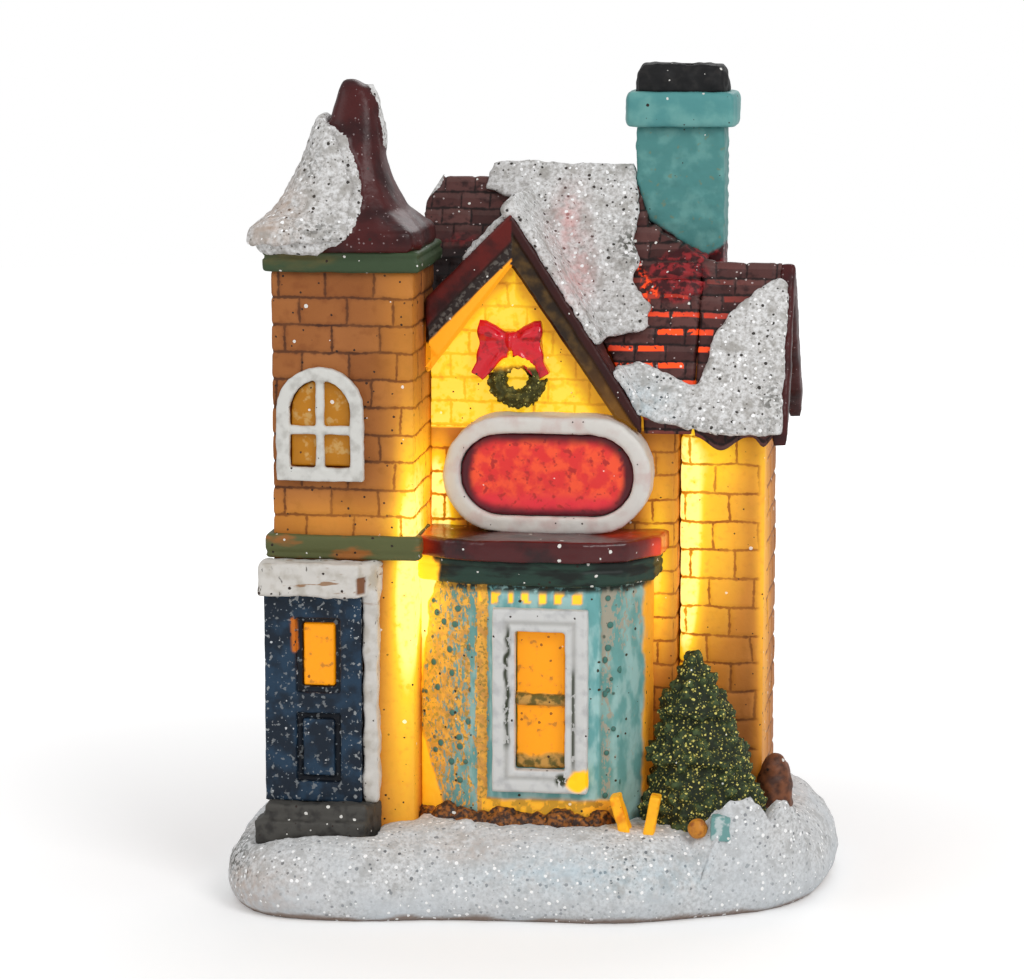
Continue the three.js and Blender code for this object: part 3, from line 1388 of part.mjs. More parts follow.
// Bent leaf that presses the stack of cells together, with a tail up to the board
function springContact() {
  const x0 = cellBayLeft + CONTACT_FIT;
  const back = x0 + CONTACT_THICKNESS;
  const crest = cellBayLeft + CONTACT_SPACE;
  const foot = cellAxisZ - 0.36 * CELL_DIAMETER;
  const bend = cellAxisZ + 0.3 * CELL_DIAMETER;
  const leaf = [
    [x0, foot], [back, foot], [back, bend - CONTACT_THICKNESS],
    [crest - CONTACT_THICKNESS, cellAxisZ - 0.5], [back + CONTACT_FIT, foot],
    [back + CONTACT_FIT + CONTACT_THICKNESS, foot], [crest, cellAxisZ - 0.5],
    [crest, cellAxisZ + 0.5], [back, bend + CONTACT_THICKNESS], [x0, bend + CONTACT_THICKNESS],
  ];
  const plate = alongY(leaf, cellAxisY - CONTACT_HALF_WIDTH, cellAxisY + CONTACT_HALF_WIDTH);
  const tail = block(x0, back, cellAxisY - TAIL_HALF_WIDTH, cellAxisY + TAIL_HALF_WIDTH, bend, moduleTop);
  return join(plate, tail);
}

function plateContact() {
  const x1 = cellBayRight - CONTACT_FIT;
  const x0 = x1 - CONTACT_THICKNESS;
  const half = 0.33 * CELL_DIAMETER;
  const plate = block(x0, x1, cellAxisY - half, cellAxisY + half, cellAxisZ - half, cellAxisZ + half);
  const tail = block(x0, x1, cellAxisY - TAIL_HALF_WIDTH, cellAxisY + TAIL_HALF_WIDTH, cellAxisZ, moduleTop);
  return join(plate, tail);
}

function circuitBoard() {
  return moduleSpace(-BOARD_INSET, moduleTop, boardTop);
}

function resistor() {
  const tube = new THREE.CylinderGeometry(RESISTOR_RADIUS, RESISTOR_RADIUS, RESISTOR_LENGTH, 16);
  tube.rotateZ(Math.PI / 2);
  tube.translate(moduleX + RESISTOR_PLACE[0], moduleY + RESISTOR_PLACE[1], boardTop + RESISTOR_RADIUS);
  return solid(tube);
}

// Places of the two lamps in the house, and of their wires on the board
const ledClear = WALL + LED_RADIUS + LED_FLANGE + LED_STAND_OFF;
const ledLeft = [shopLeft + ledClear, SHOP_FRONT + ledClear, LED_LEFT_Z];
const ledRight = [wingLeft + ledClear - WALL, WING_FRONT + ledClear, LED_RIGHT_Z];
const wireFootLeft = [moduleLeft + WIRE_FOOT_INSET, moduleFront + WIRE_FOOT_INSET];
const wireFootRight = [moduleRight - WIRE_FOOT_INSET, moduleFront + 2 * WIRE_FOOT_INSET];

function led([x, y, z]) {
  const flange = LED_RADIUS + LED_FLANGE;
  const profile = [[0, 0], [flange, 0], [flange, 1], [LED_RADIUS, 1], [LED_RADIUS, LED_LENGTH - LED_RADIUS]];
  for (let i = 1; i <= 6; i += 1) {
    const angle = (i / 6) * Math.PI / 2;
    const radius = i === 6 ? 0 : LED_RADIUS * Math.cos(angle);
    profile.push([radius, LED_LENGTH - LED_RADIUS + LED_RADIUS * Math.sin(angle)]);
  }
  const lens = new THREE.LatheGeometry(profile.map(([r, h]) => new THREE.Vector2(r, h)), 20);
  lens.rotateX(Math.PI / 2);
  lens.translate(x, y, z);
  return solid(lens);
}

// Two-core wire along hand-chosen points
function wire(points) {
  const curve = new THREE.CatmullRomCurve3(points.map(([x, y, z]) => new THREE.Vector3(x, y, z)));
  const section = new THREE.Shape();
  section.absarc(0, 0, WIRE_RADIUS, 0, Math.PI * 2);
  return solid(new THREE.ExtrudeGeometry(section, {
    steps: 18,
    curveSegments: 4,
    extrudePath: curve,
    bevelEnabled: false,
  }));
}

function leftWire() {
  const [x, y, z] = ledLeft;
  const [footX, footY] = wireFootLeft;
  const [rise, middle, run] = LEFT_WIRE;
  return wire([
    [footX, footY, boardTop],
    [footX, footY, boardTop + rise],
    [(x + footX) / 2, (y + footY) / 2, boardTop + middle],
    [x, y, z - run],
    [x, y, z - WIRE_FIT],
  ]);
}

function rightWire() {
  const [x, y, z] = ledRight;
  const [footX, footY] = wireFootRight;
  const [rise, middle, run] = RIGHT_WIRE;
  return wire([
    [footX, footY, boardTop],
    [footX, footY, boardTop + rise],
    [(x + footX) / 2, (y + footY) / 2, boardTop + middle],
    [x, y, z - run],
    [x, y, z - WIRE_FIT],
  ]);
}

function switchLead(side) {
  const x = switchX + side * (SWITCH_BODY[0] / 2 - LEAD_INSET);
  return bar(x, switchY, switchFloor + SWITCH_BODY[2], moduleTop, LEAD_RADIUS, 8);
}

// The base with the walls' seats and the hole for the light module
function snowBase() {
  const top = MOUND_HEIGHT + OVER;
  const seats = join(
    block(TOWER_LEFT - FIT, towerRight + FIT, TOWER_FRONT, towerBack + FIT, seatZ, top),
    block(shopLeft - FIT, shopRight + FIT, SHOP_FRONT - FIT, shopBack + FIT, seatZ, top),
    block(wingLeft - FIT, wingRight + FIT, WING_FRONT - FIT, wingBack + FIT, seatZ, top),
    alongZ(bayPlan(FIT), seatZ, top),
    block(
      doorLeft - STEP_SIDE - FIT,
      jambRight + PANE_FIT + FIT,
      TOWER_FRONT - STEP_REACH - FIT,
      TOWER_FRONT + OVER,
      seatZ,
      top,
    ),
  );
  return cut(snowMound(), seats, moduleSpace(MODULE_FIT, -OVER, top));
}

const village = new THREE.Group();

// Adds one named piece with its own material
function add(name, shape, color, roughness = 0.8, metalness = 0) {
  const material = new THREE.MeshStandardMaterial({ color, roughness, metalness });
  const piece = new THREE.Mesh(cleanGeometry(shape), material);
  piece.name = name;
  village.add(piece);
}

const SNOW = 0xd9dadb;
const BRICK = 0xc98a3c;
const MAROON = 0x4a1a1c;
const SHINGLE = 0x54201c;
const TEAL = 0x4fa8a6;
const WHITE = 0xe6e6e4;
const AMBER = 0xf0a92a;
const NAVY = 0x16263c;
const GREEN = 0x4a5a2e;
const BLACK = 0x18181a;

add('snow_base', snowBase(), SNOW, 0.9);
add('tower_walls', towerWalls(), BRICK);
add('shop_walls', shopWalls(), BRICK);
add('wing_walls', wingWalls(), BRICK);
add('string_course', stringCourse(), GREEN);
add('tower_cornice', towerCornice(), GREEN);
add('tower_roof', spire(0), MAROON, 0.4);
add('main_roof', mainRoof(), SHINGLE, 0.6);
add('gable_roof', gableRoof(), SHINGLE, 0.6);
add('gable_fascia', gableFascia(), MAROON, 0.4);
add('wing_roof', wingRoof(), SHINGLE, 0.6);
add('wing_barge_board', wingBargeBoard(), MAROON, 0.4);
add('chimney_stack', chimneyStack(), TEAL);
add('chimney_collar', chimneyCollar(), TEAL);
add('chimney_cap', chimneyCap(), BLACK, 0.6);
add('door_surround', doorSurround(), WHITE);
add('front_door', frontDoor(), NAVY, 0.5);
add('door_window', doorWindow(), AMBER, 0.3);
add('door_step', doorStep(), 0x3a3836);
add('bay_front', bayShell(), TEAL);
add('bay_window_frame', bayWindowFrame(), WHITE);
add('bay_window_pane', bayWindowPane(), AMBER, 0.3);
add('bay_cornice', bayCornice(), GREEN);
add('bay_ledge', bayLedge(), MAROON, 0.3);
add('sign_frame', signFrame(), WHITE);
add('sign_panel', signPanel(), 0xa01822, 0.3);
add('tower_window_frame', towerWindowFrame(), WHITE);
add('tower_window_pane', towerWindowPane(), AMBER, 0.3);
add('wreath', wreath(), GREEN);
add('bow', bow(0), 0xc01428, 0.3);
add('pine_tree', pineTree(), 0x1f3a20, 0.9);
add('corner_rock', cornerRock(), 0x5a3526, 0.6);
add('rock_edging', rockEdging(), 0x4a3024, 0.7);
add('tree_ball', treeBall(), 0xd58a1e, 0.4);
add('small_parcel', smallParcel(), 0x6aaeb0, 0.6);
add('left_slab', leaningSlab(bayRight - 2.3, -16), AMBER, 0.5);
add('right_slab', leaningSlab(bayRight + 0.9, 10), AMBER, 0.5);
add('tower_snow', towerSnow(), SNOW, 0.9);
add('main_roof_snow', mainRoofSnow(), SNOW, 0.9);
add('wing_roof_snow', wingRoofSnow(), SNOW, 0.9);
add('module_housing', moduleHousing(), 0xd8d8d4, 0.5);
add('battery_door', batteryDoor(), 0xcfcfca, 0.5);
add('door_screw', doorScrew(), 0x9c9ea2, 0.3, 1);
add('switch_body', switchBody(), 0xa8aaac, 0.4, 1);
add('switch_slider', switchSlider(), BLACK, 0.5);
for (let i = 0; i < CELL_COUNT; i += 1) add(`cell_${i + 1}`, cell(i), 0xb8babd, 0.3, 1);
add('spring_contact', springContact(), 0xc0c2c4, 0.3, 1);
add('plate_contact', plateContact(), 0xc0c2c4, 0.3, 1);
add('circuit_board', circuitBoard(), 0x2f6a3c, 0.5);
add('resistor', resistor(), 0xc8b48c, 0.6);
add('led_left', led(ledLeft), 0xfff0c0, 0.2);
add('led_right', led(ledRight), 0xfff0c0, 0.2);
add('led_wire_left', leftWire(), 0x9a1c1c, 0.5);
add('led_wire_right', rightWire(), 0x9a1c1c, 0.5);
add('switch_lead_1', switchLead(-1), 0xc0c2c4, 0.3, 1);
add('switch_lead_2', switchLead(1), 0xc0c2c4, 0.3, 1);

export default village;
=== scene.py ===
"""Looks of the christmas village shop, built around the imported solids."""
import itertools
import math

import bmesh
import bpy
import numpy as np
from mathutils import Matrix, Vector

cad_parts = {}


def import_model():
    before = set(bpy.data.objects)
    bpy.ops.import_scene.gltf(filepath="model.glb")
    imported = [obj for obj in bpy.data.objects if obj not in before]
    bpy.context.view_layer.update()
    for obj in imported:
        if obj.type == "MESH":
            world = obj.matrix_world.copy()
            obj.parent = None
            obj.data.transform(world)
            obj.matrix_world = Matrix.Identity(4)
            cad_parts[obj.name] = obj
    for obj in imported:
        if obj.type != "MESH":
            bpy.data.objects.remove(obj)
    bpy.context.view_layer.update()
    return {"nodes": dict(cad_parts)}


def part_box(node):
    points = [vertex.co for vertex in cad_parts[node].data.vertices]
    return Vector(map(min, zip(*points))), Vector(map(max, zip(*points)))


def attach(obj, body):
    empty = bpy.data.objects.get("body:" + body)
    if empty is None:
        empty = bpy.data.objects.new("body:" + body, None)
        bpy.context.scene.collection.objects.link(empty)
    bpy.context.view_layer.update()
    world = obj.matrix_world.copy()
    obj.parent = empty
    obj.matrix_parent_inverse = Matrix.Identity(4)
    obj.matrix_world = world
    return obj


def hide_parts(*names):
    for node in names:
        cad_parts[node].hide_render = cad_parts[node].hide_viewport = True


MM = 0.001
SEED = 11

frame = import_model()
NODES = frame["nodes"]


# Noise, in millimetres


def lattice(ix, iy, iz, seed):
    """Random number from 0 to 1 for each lattice point."""
    h = (ix * 73856093) ^ (iy * 19349663) ^ (iz * 83492791) ^ ((SEED + seed) * 40503)
    h = h & 0xFFFFFFFF
    h = ((h ^ (h >> 15)) * 2246822519) & 0xFFFFFFFF
    h = ((h ^ (h >> 13)) * 3266489917) & 0xFFFFFFFF
    return (h ^ (h >> 16)).astype(float) / 0xFFFFFFFF


def noise(p, size, seed=0):
    """Smooth noise from 0 to 1 whose cells are size mm wide."""
    low = np.floor(p / size)
    f = p / size - low
    f = f * f * (3 - 2 * f)
    low = low.astype(np.int64)
    total = np.zeros(len(p))
    for corner in itertools.product((0, 1), repeat=3):
        weight = np.prod(np.where(corner, f, 1 - f), axis=1)
        total += weight * lattice(*(low + corner).T, seed)
    return total


def fractal(p, size, octaves=3, seed=0):
    """Noise of several sizes, each half as wide and half as strong, about -1 to 1."""
    total = np.zeros(len(p))
    weight, sum_of_weights = 1.0, 0.0
    for octave in range(octaves):
        total += weight * (2 * noise(p, size / 2 ** octave, seed + octave) - 1)
        sum_of_weights += weight
        weight *= 0.5
    return total / sum_of_weights


def cells(p, size, seed=0):
    """Distance in mm to the nearest of scattered points and the number of that point."""
    q = p / size
    low = np.floor(q).astype(np.int64)
    best = np.full(len(p), 9.0)
    name = np.zeros(len(p))
    for step in itertools.product((-1, 0, 1), repeat=3):
        cell = (low + step).T
        away = sum((i + lattice(*cell, seed + axis) - q[:, axis]) ** 2 for axis, i in enumerate(cell))
        name = np.where(away < best, lattice(*cell, seed + 5), name)
        best = np.minimum(away, best)
    return np.sqrt(best) * size, name


def fade(low, high, value):
    """0 at low, 1 at high and smooth between; low may be the greater one."""
    t = np.clip((value - low) / (high - low), 0, 1)
    return t * t * (3 - 2 * t)


def bell(value, width):
    """1 at 0, falling softly to both sides."""
    return np.exp(-((value / width) ** 2))


def spots(p, places):
    """Sum of soft spots, each x, y, z, its three radii and its strength."""
    total = np.zeros(len(p))
    for x, y, z, rx, ry, rz, strength in places:
        q = ((p[:, 0] - x) / rx) ** 2 + ((p[:, 1] - y) / ry) ** 2 + ((p[:, 2] - z) / rz) ** 2
        total += strength * np.exp(-q)
    return total


def spotted(p, places):
    """Sum of soft spots, kept between 0 and 1."""
    return np.clip(spots(p, places), 0, 1)


# Meshes


def linked(name, data):
    """New object in the scene."""
    made = bpy.data.objects.new(name, data)
    bpy.context.scene.collection.objects.link(made)
    return made


def evaluated(piece):
    """Applies the modifiers of a piece to its mesh."""
    graph = bpy.context.evaluated_depsgraph_get()
    mesh = bpy.data.meshes.new_from_object(piece.evaluated_get(graph))
    piece.modifiers.clear()
    piece.data = mesh
    mesh.materials.clear()


def recast(name, node, voxel, smooth=2, refine=None):
    """New even mesh of a node's solid, edges softened; the faces that refine picks are split once more."""
    piece = linked(name, NODES[node].data.copy())
    remesh = piece.modifiers.new("remesh", "REMESH")
    remesh.mode = "VOXEL"
    remesh.voxel_size = voxel * MM
    if smooth:
        soften = piece.modifiers.new("smooth", "SMOOTH")
        soften.factor = 0.5
        soften.iterations = smooth
    evaluated(piece)
    if refine:
        mesh = bmesh.new()
        mesh.from_mesh(piece.data)
        mesh.faces.ensure_lookup_table()
        centres = np.array([f.calc_center_median() for f in mesh.faces]) / MM
        chosen = set()
        for index in np.flatnonzero(refine(*centres.T)):
            chosen.update(mesh.faces[index].edges)
        bmesh.ops.subdivide_edges(mesh, edges=list(chosen), cuts=1, use_grid_fill=True)
        mesh.to_mesh(piece.data)
        mesh.free()
    return piece


def points(piece):
    co = np.zeros(len(piece.data.vertices) * 3, np.float32)
    piece.data.vertices.foreach_get("co", co)
    return co.reshape(-1, 3).astype(float) / MM


def normals(piece):
    n = np.zeros(len(piece.data.vertices) * 3, np.float32)
    piece.data.vertex_normals.foreach_get("vector", n)
    return n.reshape(-1, 3).astype(float)


def place_points(piece, p):
    piece.data.vertices.foreach_set("co", (p * MM).astype(np.float32).ravel())
    piece.data.update()


def store(piece, **attributes):
    """Keeps values for each point under names that the materials read."""
    count = len(piece.data.vertices)
    for name, values in attributes.items():
        layer = piece.data.attributes.new(name, "FLOAT", "POINT")
        layer.data.foreach_set("value", np.broadcast_to(values, count).astype(np.float32).copy())


def push(piece, amount):
    """Moves each point along its normal by an amount in mm."""
    p = points(piece) + normals(piece) * np.broadcast_to(amount, len(piece.data.vertices))[:, None]
    place_points(piece, p)


def joints(piece, name, part, period):
    """Stores how far in mm each point lies from the joints of a row whose place in its period is part."""
    turn = 2 * math.pi * part
    store(piece, **{name: np.sin(turn) * period / (2 * math.pi), name + "_side": np.cos(turn)})


def near_line(p, points_xz, width):
    """1 on a broken line seen from the front, 0 beyond its width."""
    x, y, z = p.T
    best = np.full(len(p), 99.0)
    for (ax, az), (bx, bz) in zip(points_xz, points_xz[1:]):
        dx, dz = bx - ax, bz - az
        t = np.clip(((x - ax) * dx + (z - az) * dz) / (dx * dx + dz * dz), 0, 1)
        best = np.minimum(best, np.hypot(x - ax - t * dx, z - az - t * dz))
    return fade(width, 0.4 * width, best)


def show(piece, material, slot, *nodes, body="house"):
    piece.data.materials.append(material)
    piece.data.polygons.foreach_set("use_smooth", np.ones(len(piece.data.polygons), bool))
    piece.data.update()
    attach(piece, body)
    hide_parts(*nodes)
    return piece


# Materials


def linear(c):
    c /= 255
    return c / 12.92 if c <= 0.04045 else ((c + 0.055) / 1.055) ** 2.4


def as_color(value):
    """Linear colour of a paint written as three sRGB values from 0 to 255; the rest stays as it is."""
    if isinstance(value, tuple) and len(value) == 3:
        return (*map(linear, value), 1)
    return value


class Paint:
    """Node tree of a procedural material; its lengths are in mm."""

    def __init__(self, name, roughness, specular=0.3, **uniform):
        self.material = bpy.data.materials.new(name)
        self.material.use_nodes = True
        self.tree = self.material.node_tree
        self.shader = self.tree.nodes["Principled BSDF"]
        self.set("Roughness", roughness)
        self.set("Specular IOR Level", specular)
        for socket, value in uniform.items():
            self.set(socket.replace("_", " "), value)
        place = self.node("TexCoord").outputs["Object"]
        self.place = self.node("VectorMath", {0: place, "Scale": 1 / MM}, operation="SCALE").outputs[0]

    def node(self, kind, inputs=(), **settings):
        made = self.tree.nodes.new("ShaderNode" + kind)
        for name, value in settings.items():
            setattr(made, name, value)
        for socket, value in dict(inputs).items():
            self.plug(value, made.inputs[socket])
        return made

    def plug(self, value, socket):
        """Feeds a socket from another one, from an attribute by its name, or with a plain value."""
        if isinstance(value, str):
            value = self.attr(value)
        if isinstance(value, bpy.types.NodeSocket):
            self.tree.links.new(value, socket)
        else:
            socket.default_value = as_color(value)

    def maths(self, operation, *values):
        return self.node("Math", dict(enumerate(values)), operation=operation).outputs[0]

    def times(self, product, *factors):
        for factor in factors:
            product = self.maths("MULTIPLY", product, factor)
        return product

    def plus(self, a, b):
        return self.maths("ADD", a, b)

    def most(self, a, b):
        return self.maths("MAXIMUM", a, b)

    def stretched(self, stretch, shift):
        location = [shift, 1.7 * shift, 0.6 * shift]
        inputs = {"Vector": self.place, "Scale": [1 / s for s in stretch], "Location": location}
        return self.node("Mapping", inputs).outputs[0]

    def noise(self, size, detail=2, shift=0, stretch=(1, 1, 1), roughness=0.5):
        place = self.stretched(stretch, shift)
        inputs = {"Vector": place, "Scale": 1 / size, "Detail": detail, "Roughness": roughness}
        return self.node("TexNoise", inputs).outputs["Fac"]

    def specks(self, spacing, radius, share, shift=0):
        """1 inside scattered ragged specks; share of the cells hold one."""
        place = self.stretched((1, 1, 1), shift)
        found = self.node("TexVoronoi", {"Vector": place, "Scale": 1 / spacing}).outputs
        chance = self.node("SeparateColor", {0: found["Color"]}).outputs
        size = self.maths("MULTIPLY_ADD", chance[1], radius / spacing, 0.4 * radius / spacing)
        wander = self.maths("SUBTRACT", self.noise(1.6 * radius, 1, shift), 0.5)
        ragged = self.times(wander, radius / spacing)
        inside = self.maths("LESS_THAN", self.plus(found["Distance"], ragged), size)
        return self.times(inside, self.maths("LESS_THAN", chance[0], share))

    def joint(self, name, half, soft=0.09, ragged=0.16):
        """1 on the joints stored under a name, as ragged lines."""
        wander = self.times(self.maths("SUBTRACT", self.noise(0.7, 2, 71), 0.5), 2 * ragged)
        away = self.plus(self.maths("ABSOLUTE", self.attr(name)), wander)
        near = self.band(away, half + soft, half - soft)
        return self.times(near, self.maths("GREATER_THAN", self.attr(name + "_side"), 0.0))

    def band(self, value, low, high):
        """0 below low, 1 above high, smooth between."""
        inputs = {"Value": value, "From Min": low, "From Max": high}
        return self.node("MapRange", inputs, interpolation_type="SMOOTHSTEP").outputs[0]

    def patches(self, low, high, *noise, **more):
        """Noise cut to patches: 0 where it is below low, 1 above high."""
        return self.band(self.noise(*noise, **more), low, high)

    def attr(self, name):
        return self.node("Attribute", attribute_name=name).outputs["Fac"]

    def ramp(self, value, stops):
        made = self.node("ValToRGB", {0: value})
        elements = made.color_ramp.elements
        while len(elements) < len(stops):
            elements.new(0.5)
        for element, (at, color) in zip(elements, stops):
            element.position = at
            element.color = as_color(color)
        return made.outputs[0]

    def mix(self, factor, a, b):
        return self.node("Mix", {0: factor, 6: a, 7: b}, data_type="RGBA").outputs[2]

    def base(self, color):
        self.color = color
        self.set("Base Color", color)

    def over(self, tint, *factors):
        """Lays a tint over the colour so far, where the product of the factors is 1."""
        self.base(self.mix(self.times(*factors), self.color, tint))

    def fleck(self, tint, *specks):
        self.over(tint, self.specks(*specks))

    def set(self, socket, value):
        self.plug(value, self.shader.inputs[socket])

    def bump(self, height, distance, strength):
        inputs = {"Height": height, "Distance": distance * MM, "Strength": strength}
        self.set("Normal", self.node("Bump", inputs).outputs[0])

    def grain(self, size, distance, strength):
        """Fine grain left by brush and mould."""
        self.bump(self.noise(size, 3, 4), distance, strength)

    def glowing(self, amount, light):
        """Light that shines through the cast wall, given as stops or as its brightest colour."""
        stops = light if isinstance(light, list) else [(0, (0, 0, 0, 1)), (1, (*light, 1))]
        self.set("Emission Color", self.ramp(amount, stops))
        self.set("Emission Strength", 1.0)

    def dust(self, white, dark):
        """Scatters white and dark flecks of paint and glitter."""
        self.fleck((44, 30, 24), 1.3, 0.17, dark, 3)
        self.fleck((226, 224, 218), 1.7, 0.21, white, 17)


GLOW = [
    (0.0, (0, 0, 0, 1)),
    (0.3, (0.14, 0.045, 0.003, 1)),
    (0.55, (0.4, 0.2, 0.006, 1)),
    (0.8, (0.66, 0.47, 0.008, 1)),
    (1.0, (1.15, 0.95, 0.3, 1)),
]


def snow_coat(paint):
    """Grainy white with grey worn places and dark flecks."""
    grain = paint.noise(0.55, 3, roughness=0.6)
    paint.base(paint.ramp(grain, [(0.3, (156, 154, 151)), (0.47, (200, 198, 196)), (0.64, (228, 228, 228))]))
    paint.over((156, 152, 146), paint.patches(0.5, 0.7, 2.4, 3, 60), 0.7)
    paint.fleck((62, 58, 55), 0.9, 0.2, 0.5, 9)
    paint.fleck((120, 116, 110), 0.7, 0.11, 0.5, 33)
    return grain


def snowed(paint, edge):
    """Lays ragged snow over the paint by the snow attribute, and returns where it is."""
    where = paint.band(paint.plus("snow", paint.noise(0.5, 2, 61)), edge, edge + 0.1)
    under = paint.color
    snow_coat(paint)
    paint.base(paint.mix(where, under, paint.color))
    return where


def snow_paint(name):
    """Snow with cool, warm and dark grey places, painted pink glow of the lamps, and a brown foot."""
    paint = Paint(name, 0.8, 0.25)
    grain = snow_coat(paint)
    paint.over((208, 214, 219), "clean", 0.4)
    mottle = paint.patches(0.2, 0.7, 1.2, 3, 5)
    # The pink patches are painted light: the lamps' glow through the snow, laid into its colour.
    for attribute, tint in (("cool", (176, 206, 220)), ("warm", (186, 152, 126)), ("rosy", (238, 160, 156))):
        paint.over(tint, attribute, mottle)
    paint.over((66, 66, 56), "soot", paint.patches(0.5, 0.56, 0.7, 3, 44))
    paint.over((136, 110, 92), "foot")
    paint.fleck((255, 255, 255), 0.9, 0.2, 0.5, 21)
    paint.bump(grain, 0.2, 0.6)
    return paint


def brick_paint(name):
    """Ochre bricks with ragged dark joints, brighter where the lamps shine through."""
    paint = Paint(name, 0.6)
    line = paint.most(paint.joint("bed", 0.17, 0.1, 0.24), paint.joint("head", 0.16, 0.1, 0.28))
    line = paint.times(line, "joint_level")
    mottle = paint.noise(2.2, 4, 2)
    paint.base(paint.ramp("tint", [(0.0, (132, 74, 32)), (0.5, (152, 90, 42)), (1.0, (172, 108, 56))]))
    paint.over((128, 68, 28), paint.band(mottle, 0.5, 0.7), 0.5)
    # Darker along the grooves between the bricks: painted shade.
    paint.over((112, 62, 30), "groove", 0.4)
    paint.over(paint.mix(mottle, (244, 160, 30), (238, 178, 60)), "glow")
    paint.over(paint.mix("glow", (66, 34, 18), (190, 104, 10)), line)
    paint.dust(0.08, 0.6)
    clear = paint.band(paint.specks(1.3, 0.17, 0.3, 3), 1.2, 0.0)
    light = paint.times("glow", paint.band(line, 1.5, -0.1), clear, paint.patches(-0.4, 0.52, 1.0, 4, 8))
    paint.glowing(light, GLOW)
    paint.grain(0.5, 0.08, 0.5)
    return paint


def coated(name, color, other, share=(0.45, 0.7), size=2.5, roughness=0.5, white=0.25, dark=0.3,
           stretch=(1, 1, 1), **more):
    """Plain painted finish with a second, patchy shade and flecks."""
    paint = Paint(name, roughness, **more)
    paint.base(paint.mix(paint.patches(*share, size, 4, 1, stretch), color, other))
    paint.dust(white, dark)
    paint.grain(0.6, 0.08, 0.5)
    return paint


# Walls


def bricks(piece, low, high, row, length, depth, level):
    """Courses of bricks in relief on the outside of a block of walls between two corners."""
    p, n = points(piece), normals(piece)
    x, y, z = p.T
    q = p + fractal(p, 4.0, 2, 3)[:, None] * (0.35, 0.35, 0.3)
    side = np.abs(n[:, 0]) > np.abs(n[:, 1])
    left, right, front, back = low[0], high[0], low[1], high[1]
    along = np.where(
        side,
        np.where(n[:, 0] > 0, right + (q[:, 1] - front), left - (q[:, 1] - front)),
        np.where(n[:, 1] < 0, q[:, 0], right + (back - front) + (right - q[:, 0])),
    )
    course = np.floor((high[2] - q[:, 2]) / row)
    up = (high[2] - q[:, 2]) / row - course
    to_bed = np.minimum(up, 1 - up) * row
    rank = course.astype(np.int64)
    shift = 0.5 * (rank % 2) + 0.22 * lattice(rank, 0, 0, 31)
    number = np.floor(along / length + shift)
    part = along / length + shift - number
    to_head = np.minimum(part, 1 - part) * length
    tint = lattice(number.astype(np.int64), rank, 0, 32)
    groove = np.maximum(bell(to_bed, 0.3), bell(to_head, 0.27))
    edge = 0.9
    outside = (x < left + edge) | (x > right - edge) | (y < front + edge) | (y > back - edge)
    mask = (outside & (np.abs(n[:, 2]) < 0.6)) * level(p)
    groove = groove * mask
    uneven = 0.12 * (tint - 0.5) + 0.08 * fractal(p, 1.8, 3, 36)
    push(piece, -depth * groove + np.minimum(mask, 1) * uneven)
    store(piece, groove=groove, joint_level=mask * (0.5 + 0.5 * noise(p, 1.6, 35)))
    joints(piece, "bed", up, row)
    joints(piece, "head", part, length)
    store(piece, tint=0.25 + 0.5 * tint + 0.25 * noise(p, 3, 39))
    return p


def node_box(name):
    low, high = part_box(name)
    return np.array(low) / MM, np.array(high) / MM


def tower_courses(p):
    """The tower's bricks stop above the door and in the brightest part of its right side."""
    x, y, z = p.T
    front, right = y < -17.5, x > -15.9
    return np.where(right, fade(50, 56, z), np.where(front, fade(48, 51, z), 1.0))


BRICK = brick_paint("brick_glow")


def brick_wall(block, refine, row, length, courses, places, depth=0.2, glow=lambda p, lamps: lamps):
    """Bricks on a block of walls, with spots where the lamps shine through."""
    piece = recast(block + "_bricks", block + "_walls", 0.6, 2, refine)
    p = bricks(piece, *node_box(block + "_walls"), row, length, depth, courses)
    store(piece, glow=np.clip(glow(p, spots(p, places)), 0, 1))
    show(piece, BRICK.material, "brick", block + "_walls")


brick_wall("tower", lambda x, y, z: (y < -18) | (x > -16.1) | (x < -34.8), 3.83, 6.7, tower_courses, [
    (-15.4, -10, 61, 2.6, 10, 9, 0.75),
    (-15.4, -12, 46, 2.6, 9, 9, 0.85),
    (-16.2, -18.7, 42, 2.6, 5, 12, 0.6),
    (-18.2, -18.7, 25, 3.4, 5, 26, 0.5),
    (-15.6, -18.7, 22, 2.2, 5, 20, 0.3),
    (-16.2, -18.7, 60, 2.4, 5, 14, 0.35),
    (-27, -18.7, 54.5, 12, 5, 3.4, 0.3),
    (-16.6, -18.7, 82, 3.6, 5, 16, 0.18),
])

APEX = (-3.0, 97.0)
LEFT_SLOPE, RIGHT_SLOPE = 1.0, 1.558
LEFT_BOARD, RIGHT_BOARD = 5.0, 4.2


def under_gable(p):
    """Distance in mm down from the gable's two outer edges, and which points lie left of the apex."""
    x, y, z = p.T
    left = x < APEX[0]
    slope = np.where(left, LEFT_SLOPE, RIGHT_SLOPE)
    down = (APEX[1] - np.abs(x - APEX[0]) * slope - z) / np.sqrt(1 + slope ** 2)
    return down, left


def shop_courses(p):
    """The gable's courses are only scratched in."""
    return np.where((p[:, 2] > 66.5) & (p[:, 1] < -4), 0.42, 1.0)


def gable_glow(p, lamps):
    """The whole gable shines, a little less beside its boards."""
    down, left = under_gable(p)
    inside = down - np.where(left, LEFT_BOARD, RIGHT_BOARD) + 0.5 * fractal(p, 2.5, 2, 41)
    gable = (0.54 + 0.3 * fade(0.2, 2.4, inside)) * (p[:, 2] > 66) * (p[:, 1] < -4)
    return gable + lamps * (1 - 0.9 * (gable > 0.3))


